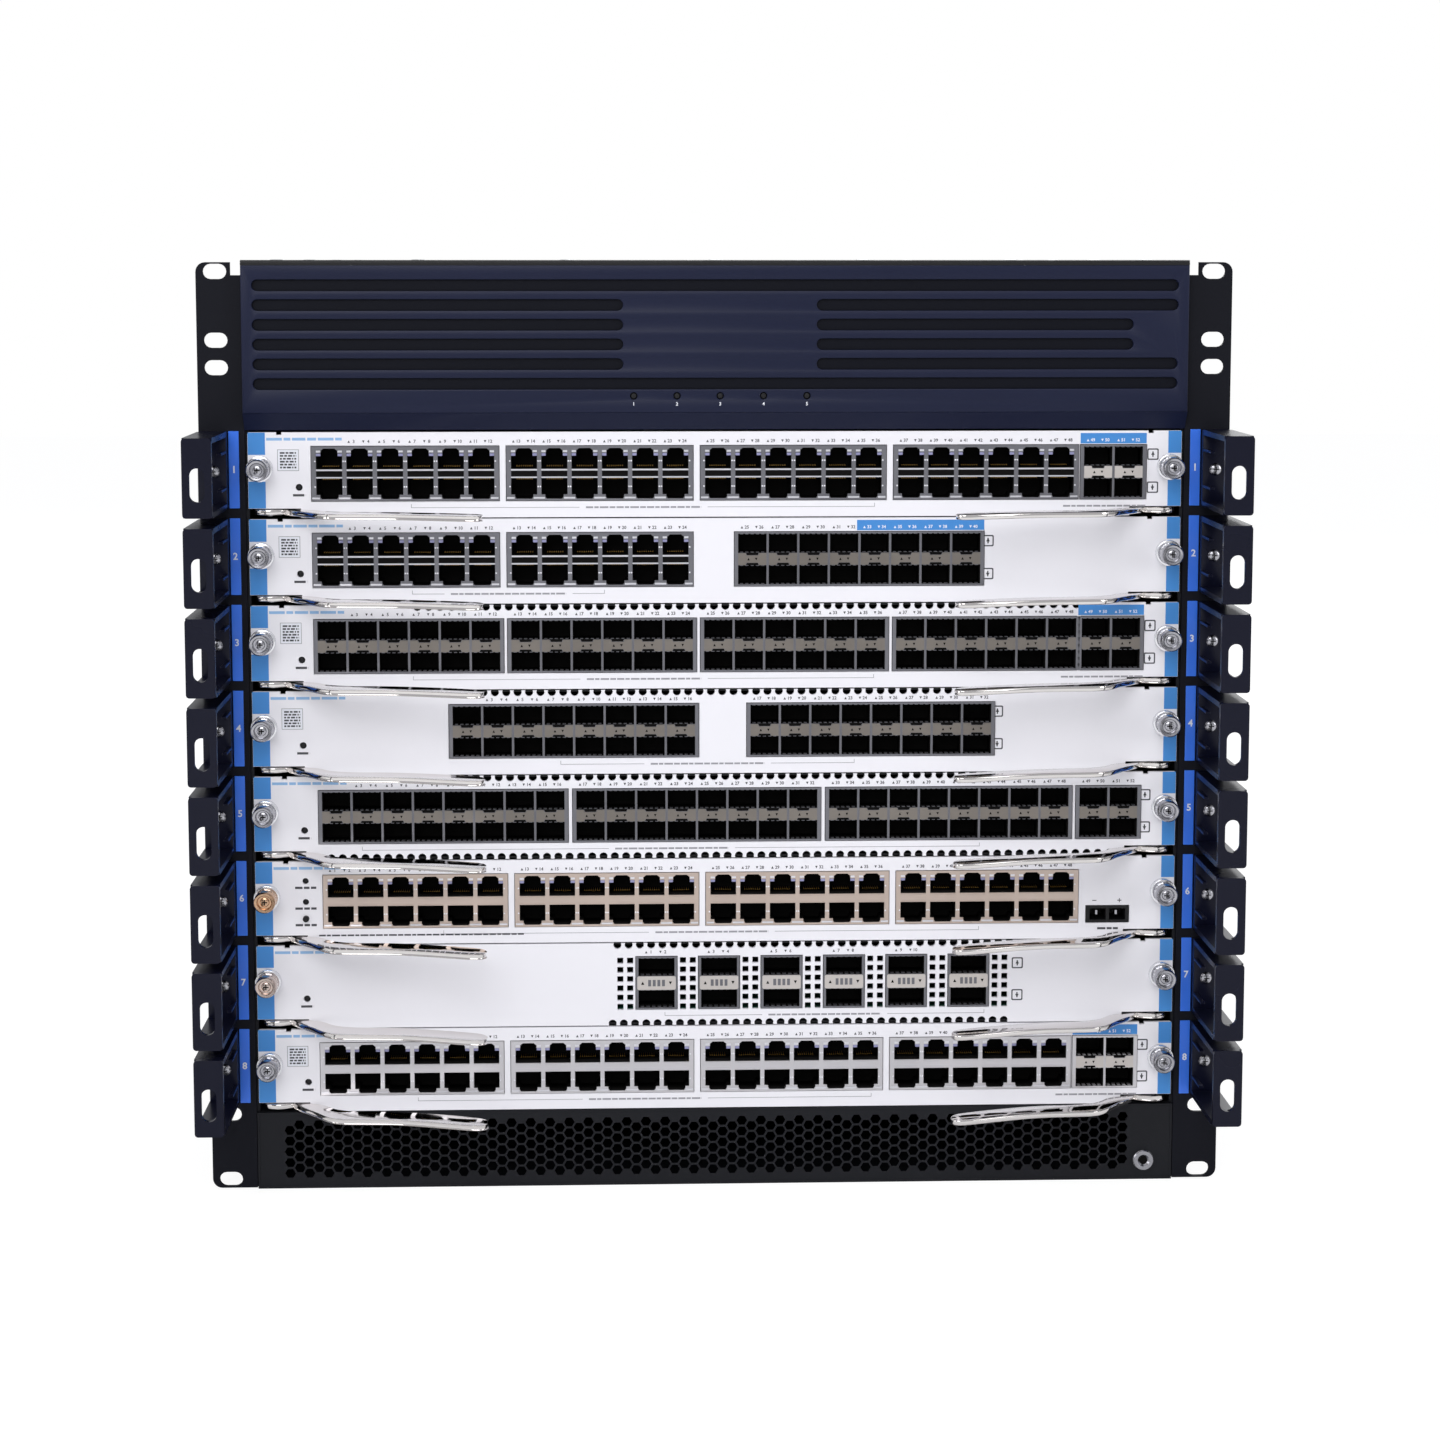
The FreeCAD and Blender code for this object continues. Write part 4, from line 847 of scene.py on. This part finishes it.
def makeBezel():
    low, high = edges("top_bezel")
    front, back = low[1], high[1]
    left, right, top = low[0], high[0], high[2]
    end, floor, wallBack = bezel["end"], front + bezel["grooveDepth"], front + bezel["wall"]
    full, broken = [(-end, end)], [(-end, bezel["nameLeft"]), (bezel["nameRight"], end)]
    short = [(-end, bezel["nameLeft"]), (bezel["nameRight"], bezel["badge"])]
    grooves = []
    for index, stretches in enumerate([full, broken, short, short, broken, full]):
        up = top - 11.6 - index * bezel["pitch"]
        grooves += [stadium(start, stop, up, bezel["radius"]) for start, stop in stretches]
    lamps = [circle(across, bezel["lampHeight"], 1.7, 16) for across in lampSpots]
    body = bmesh.new()
    bend = top - 70.6
    sheet(body, [rectangle(left, bend, right, top - 2.4)] + grooves + lamps, front, floor, rim=bezel["lip"])
    # the groove floors behind the plate, in the darker navy as painted shade
    block(body, (left, floor + gap, bend), (right, wallBack + 0.3, top - 2.4), 3)
    block(body, (left, front, top - 2.38), (right, wallBack + 0.3, top - 1.22), 1)
    # rim: the slope down to the cards, the top edge and the ends
    slope = [(front, bend), (plane, low[2]), (plane + 1.5, low[2]), (wallBack, bend)]
    cap = [(front, top - 1.2), (front + 0.35, top - 0.35), (front + 1.2, top), (back, top), (back, top - 1.2)]
    ends = [(wallBack + 0.3, bend), (plane + 1.5, low[2]), (back, low[2]), (back, top - 1.2),
            (wallBack + 0.3, top - 1.2)]
    for outline, start, stop, look in ((slope, left, right, 0), (cap, left, right, 1), (ends, left, left + 2, 0),
                                       (ends, right - 2, right, 0)):
        sheet(body, [outline], start, stop, facing="side", look=look)
    lens = [(0, 0.35), (1.1, 0.5), (1.65, 1.0), (1.65, 1.88), (0, 1.88)]
    for index, across in enumerate(lampSpots):
        turn(body, lens, (across, front, bezel["lampHeight"]), steps=16, look=1)
        letters(body, str(index + 1), across, 375.4, 2.2, front, 2)
    newPiece("bezel_cover", body, ["bezelNavy", "plasticBlack", "inkWhite", "grooveShadeNavy"], "chassis",
             stands=["top_bezel"], smooth=30)


makeBezel()

ear = {"inner": 220.0, "inset": 8.75, "slot": 11, "slotHeight": 7, "corner": 4.5, "step": 5.5, "stepDrop": 6}
slotHeights = (4.95, 36.7, 392.3, 405.0, 436.75)


def makeEars():
    low, high = edges("rack_ears")
    body = bmesh.new()
    inner, corner, gauge = ear["inner"], ear["corner"], -low[1]
    stepLow = high[2] - ear["stepDrop"]
    for sign in sides.values():
        # drawn for the right-hand ear and mirrored for the left
        right = [(inner, low[2])]
        for up, start in ((low[2] + corner, -90), (high[2] - corner, 0)):
            right += arc(high[0] - corner, up, corner, start, 90, 6)
        right += [(inner + ear["step"], high[2]), (inner + ear["step"], stepLow), (inner, stepLow)]
        middle = sign * (high[0] - ear["inset"])
        slots = [stadium(middle - ear["slot"] / 2, middle + ear["slot"] / 2, up, ear["slotHeight"] / 2)
                 for up in slotHeights]
        sheet(body, [[(sign * across, up) for across, up in right]] + slots, -gauge, 0)
        block(body, (sign * inner, gap, low[2]), (sign * (inner + gauge), high[1], stepLow))
        rivet = [(radius, sign * place) for radius, place in ((0, 1.6), (2.6, 1.5), (3.4, 0.9), (3.7, 0), (0, 0))]
        for up in (30, 150, 290, 410):
            turn(body, rivet, (sign * (inner + gauge), 17, up), along="x", steps=20, look=1)
    newPiece("ear_plates", body, ["earBlack", "zinc"], "chassis", stands=["rack_ears"], smooth=30)


def makeStrips():
    body = bmesh.new()
    for row in rows:
        for sign in sides.values():
            left, right = sorted((sign * 222.7, sign * 227.5))
            low = rowLow[row] + 4.6
            block(body, (left, plane - 0.6, low), (right, plane, low + 36), 0, 0.15)
            letters(body, str(row), (left + right) / 2, low + 18, 4.6, plane - 0.6, 1)
    newPiece("row_labels", body, ["labelBlue", "inkWhite"], "chassis")


guide = {"wall": 2.5, "base": 5, "slotHeight": 15.3, "slotRadius": 3.5, "slotLift": 19.5, "screwSide": 234}


def makeGuides(side, sign):
    body = bmesh.new()
    low, high = edges(f"cable_guides_{side}")
    left, right = low[0], high[0]
    front, back = low[1], high[1]
    plateBack, root = front + guide["wall"], back - guide["base"]
    inner = left if sign > 0 else right
    for row in rows:
        bottom = rowLow[row] + 4.6
        top = bottom + 36
        # the loop's two arms, its base on the ear and the slotted plate that closes it
        for arm in (bottom, top - guide["wall"]):
            sheet(body, [rectangle(plateBack, arm, root, arm + guide["wall"])], left, right, facing="side")
        block(body, (left, root, bottom), (right, back, top), 0, 0.5, 2)
        up, tall = rowLow[row] + guide["slotLift"], guide["slotHeight"] / 2
        slot = [(across, along)
                for along, across in stadium(up - tall, up + tall, (left + right) / 2, guide["slotRadius"], 16)]
        sheet(body, [rounded(left, bottom, right, top, 1.6, 4), slot], front, plateBack)
        # ribs inside the loop and the screw that holds it
        for up in (bottom + 9.5, top - 9.5):
            block(body, (inner, back - 22, up - 0.6), (inner + sign * 2.2, root, up + 0.6), 0, 0.2)
        across, up = sign * guide["screwSide"], rowLow[row] + 22
        turn(body, [(0, -1.5), (1.3, -1.5), (2.3, -1.1), (2.9, -0.3), (2.9, 0), (0, 0)], (across, root, up), steps=24,
             look=1)
        # a dark cross on the screw head: painted shade standing for its driver slot
        for wide, high in ((1.3, 0.25), (0.25, 1.3)):
            block(body, (across - wide, root - 1.56, up - high), (across + wide, root - 1.3, up + high), 2)
    newPiece(f"guides_{side}", body, ["guideNavy", "chrome", "plasticBlack"], "chassis",
             stands=[f"cable_guides_{side}"], smooth=30)


makeEars()
makeStrips()
for side, sign in sides.items():
    makeGuides(side, sign)
print("bezel, ears, labels and guides made")

intake = {"left": -204.4, "right": 199, "low": 7.2, "high": 33.8, "step": 4.6, "pitch": 5.3, "radius": 2.598,
          "columns": 89}


def makeIntake():
    low, high = edges("intake_grille")
    jackLow, jackHigh = edges("esd_jack")
    body = bmesh.new()
    holes = [circle(206, 9.5, 4.0, 20)]
    for column in range(intake["columns"]):
        across = intake["left"] + column * intake["step"]
        for level in range(6):
            up = intake["low"] + intake["pitch"] * (level + 0.5 * (column % 2))
            if up + 2.6 <= intake["high"] and across <= intake["right"]:
                holes.append(circle(across, up, intake["radius"], 6))
    sheet(body, [rectangle(low[0], low[2], high[0], high[2])] + holes, low[1] + 0.3, high[1])
    # folded rim round the panel
    for left, bottom, right, top in ((low[0], low[2], high[0], low[2] + 1), (low[0], high[2] - 1, high[0], high[2]),
                                     (low[0], low[2] + 1, low[0] + 1, high[2] - 1),
                                     (high[0] - 1, low[2] + 1, high[0], high[2] - 1)):
        block(body, (left, low[1], bottom), (right, low[1] + 0.32, top), 0, 0.1)
    newPiece("intake_mesh", body, ["shellBlack"], "chassis", stands=["intake_grille"])
    ring = bmesh.new()
    across, up = (jackLow[0] + jackHigh[0]) / 2, (jackLow[2] + jackHigh[2]) / 2
    front, back = jackLow[1], jackHigh[1]
    turn(ring, [(0, back), (3.9, back), (3.9, -2.0), (4.9, -2.0), (5.1, front + 0.6), (4.6, front),
                (2.9, front + 0.05), (2.05, front + 0.9), (2.05, back - 2), (0, back - 2)], (across, 0, up), steps=40)
    # a dark disc in the socket's bore: painted shade for the deep hole
    turn(ring, [(0, 1.2), (2.0, 1.2), (2.0, 1.7), (0, 1.7)], (across, front, up), steps=24, look=1)
    newPiece("earth_socket", ring, ["chrome", "blackAndHoleShade"], "chassis", stands=["esd_jack"], smooth=35)


makeIntake()

screwHead = [(0, 0.1), (1.0, 0.15), (1.2, 0.75), (1.9, 0.9), (2.9, 0.75), (3.4, 0.35), (3.5, -0.1), (0, -0.1)]
earthStud = [(0, 0), (6.4, 0), (6.4, 1.2), (5.6, 1.4), (5.2, 1.4), (5.2, 5), (4.6, 5.4), (3, 5.4), (3, 9), (2.4, 9.6),
             (0, 9.6)]


def addScrew(mesh, spot, along, sign=1, height=1.0):
    # a round head with a dimple, standing out from the face it is set on
    turn(mesh, [(radius, place * sign * height) for radius, place in screwHead], spot, along=along, steps=16)


def addRod(mesh, start, stop, radius, look=0):
    start, stop = Vector(start), Vector(stop)
    way = stop - start
    place = Matrix.Translation((start + stop) / 2) @ way.to_track_quat("Z", "Y").to_matrix().to_4x4()
    made = bmesh.ops.create_cone(mesh, cap_ends=True, segments=10, radius1=radius, radius2=radius, depth=way.length,
                                 matrix=place)
    for face in {face for vert in made["verts"] for face in vert.link_faces}:
        face.material_index = look


def makeShellTrim():
    high = edges("chassis_shell")[1]
    body = bmesh.new()
    for sign in sides.values():
        side = sign * high[0]
        for deep in (60, 210, 360, 500):
            for up in (14, 148, 294, 428):
                addScrew(body, (side, deep, up), "x", sign)
            addScrew(body, (sign * (high[0] - 9), deep, high[2]), "z", height=0.3)
        # folded hems of the rear frame and of the top cover
        block(body, (side, high[1] - 14, 0.5), (side + sign * 0.7, high[1], high[2]), 1, 0.25)
        block(body, (side, 34, high[2] - 12), (side + sign * 0.7, high[1] - 14.2, high[2]), 1, 0.25)
        # earth studs low on the flank
        for deep in (456, 472):
            turn(body, [(radius, sign * place) for radius, place in earthStud], (side, deep, 60), along="x", steps=24)
    for across in (-140, -70, 0, 70, 140):
        for deep in (high[1] - 8, 22):
            addScrew(body, (across, deep, high[2]), "z", height=0.3)
    newPiece("shell_trim", body, ["zinc", "shellBlack"], "chassis", smooth=35)


tray = {"guardRings": (32, 48, 64, 80, 96, 113), "wire": 1.1, "guardScrew": 100, "handleSide": 172, "handleHalf": 46}


def makeTrayTrim():
    low, high = edges("fan_tray")
    rotorLow, rotorHigh = edges("fan_rotor")
    axis = (rotorLow[2] + rotorHigh[2]) / 2
    back = high[1]
    body = bmesh.new()
    for radius in tray["guardRings"]:
        turn(body, circle(radius, 0, tray["wire"], 8), (0, back + 1.4, axis), steps=56, closed=True)
    for sign in sides.values():
        for up in (-1, 1):
            across, lift = sign * tray["guardScrew"], axis + up * tray["guardScrew"]
            # a leg of the guard from its outer ring to its screw
            addRod(body, (sign * 22, back + 3.1, axis + up * 22), (across, back + 1.2, lift), 1.2)
            turn(body, [(0, gap), (5.5, gap), (5.5, 0.9), (0, 0.9)], (across, back, lift), steps=20)
            addScrew(body, (across, back + 0.9, lift), "y")
        for up in (low[2] + 12, axis, high[2] - 12):
            turn(body, [(0, gap), (6, gap), (6.4, 0.6), (6.4, 5.6), (5.8, 6.2), (2.2, 6.2), (1.8, 5.2), (0, 5.2)],
                 (sign * (high[0] - 12), back, up), steps=24)
        # a bow handle each side of the fan
        across = sign * tray["handleSide"]
        half = tray["handleHalf"]
        block(body, (across - 4, back + 8, axis - half), (across + 4, back + 13.5, axis + half), 1, 2.2, 3)
        for up in (-1, 1):
            block(body, (across - 4, back + gap, axis + up * half),
                  (across + 4, back + 10.5, axis + up * (half - 8)), 1, 1.4, 2)
    block(body, (-8, back + gap, high[2] - 20), (8, back + 1, high[2] - 14), 1, 0.3)
    for across in (-4, 4):
        turn(body, [(0, 1), (1.3, 1), (1.3, 1.5), (0, 1.9)], (across, back, high[2] - 17), steps=12, look=2)
    newPiece("tray_trim", body, ["zinc", "plasticBlack", "lensGreen"], "chassis", smooth=35)


supply = {"pitch": 109.25, "half": 53.1, "inletLow": 50, "inletHigh": 72, "grip": 30.6}


def makeSupplyTrim():
    low, high = edges("power_supplies")
    back = edges("chassis_shell")[1][1]
    for index in range(4):
        middle = (index - 1.5) * supply["pitch"]
        body = bmesh.new()
        # folded edge of the case round its rear face
        frameLines = [rectangle(middle - supply["half"] + edge, low[2] + edge, middle + supply["half"] - edge,
                                high[2] - edge) for edge in (0.6, 2.2)]
        sheet(body, frameLines, back + gap, back + 0.7, rim=0.15)
        # the inlet's rim and its three pins
        inlet = [rounded(middle - 18.5, supply["inletLow"] - 3, middle + 18.5, supply["inletHigh"] + 3, 2.5),
                 rounded(middle - 13, supply["inletLow"] + 1, middle + 13, supply["inletHigh"] - 1, 3)]
        sheet(body, inlet, back + gap, back + 2.2, look=1, rim=0.3)
        for across, lift in ((-7, 58.5), (7, 58.5), (0, 64.5)):
            block(body, (middle + across - 1, back - 11.9, lift - 2.2),
                  (middle + across + 1, back - 2, lift + 2.2), 0, 0.3)
        # an air grille each side of it
        left = middle - supply["half"] + 4
        for start, width in ((left, 24), (left + 73, 25)):
            # a dark sheet just behind the grille: painted shade for the case's inside
            block(body, (start + 0.5, back + gap, 22.5), (start + width - 0.5, back + 0.3, 79.5), 2)
            holes = [circle(start + 3.6 + 4.2 * column, 26 + 3.64 * level + 1.82 * (column % 2), 1.75, 6)
                     for column in range(5) for level in range(14)]
            sheet(body, [rounded(start, 22, start + width, 80, 1.5)] + holes, back + 0.32, back + 1.2)
        # grip on the pull tab, latch and lamp
        block(body, (middle - supply["grip"], back + 4, 14.9), (middle + supply["grip"], high[1] + 0.6, 19.1),
              3, 0.8, 2)
        block(body, (middle + 40, back + gap, 6), (middle + 50, back + 9, 12), 3, 1.0, 2)
        turn(body, [(0, gap), (1.5, gap), (1.5, 0.5), (0, 1)], (middle - 44, back, 9), steps=12, look=4)
        newPiece(f"supply_trim_{index + 1}", body,
                 ["shellBlack", "plasticBlack", "blackAndHoleShade", "guideNavy", "lensGreen"], "chassis",
                 smooth=35)


makeShellTrim()
makeTrayTrim()
makeSupplyTrim()

# The rest of the frame keeps its own solids.
for node, look in {"chassis_shell": "shellBlack", "backplane": "boardGreen", "fan_tray": "shellBlack",
                   "fan_rotor": "fanGrey", "power_supplies": "shellBlack", "mode_button": "plasticBlack"}.items():
    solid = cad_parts[node]
    solid.data.materials.clear()
    solid.data.materials.append(finish[look])
print("intake and rear made")
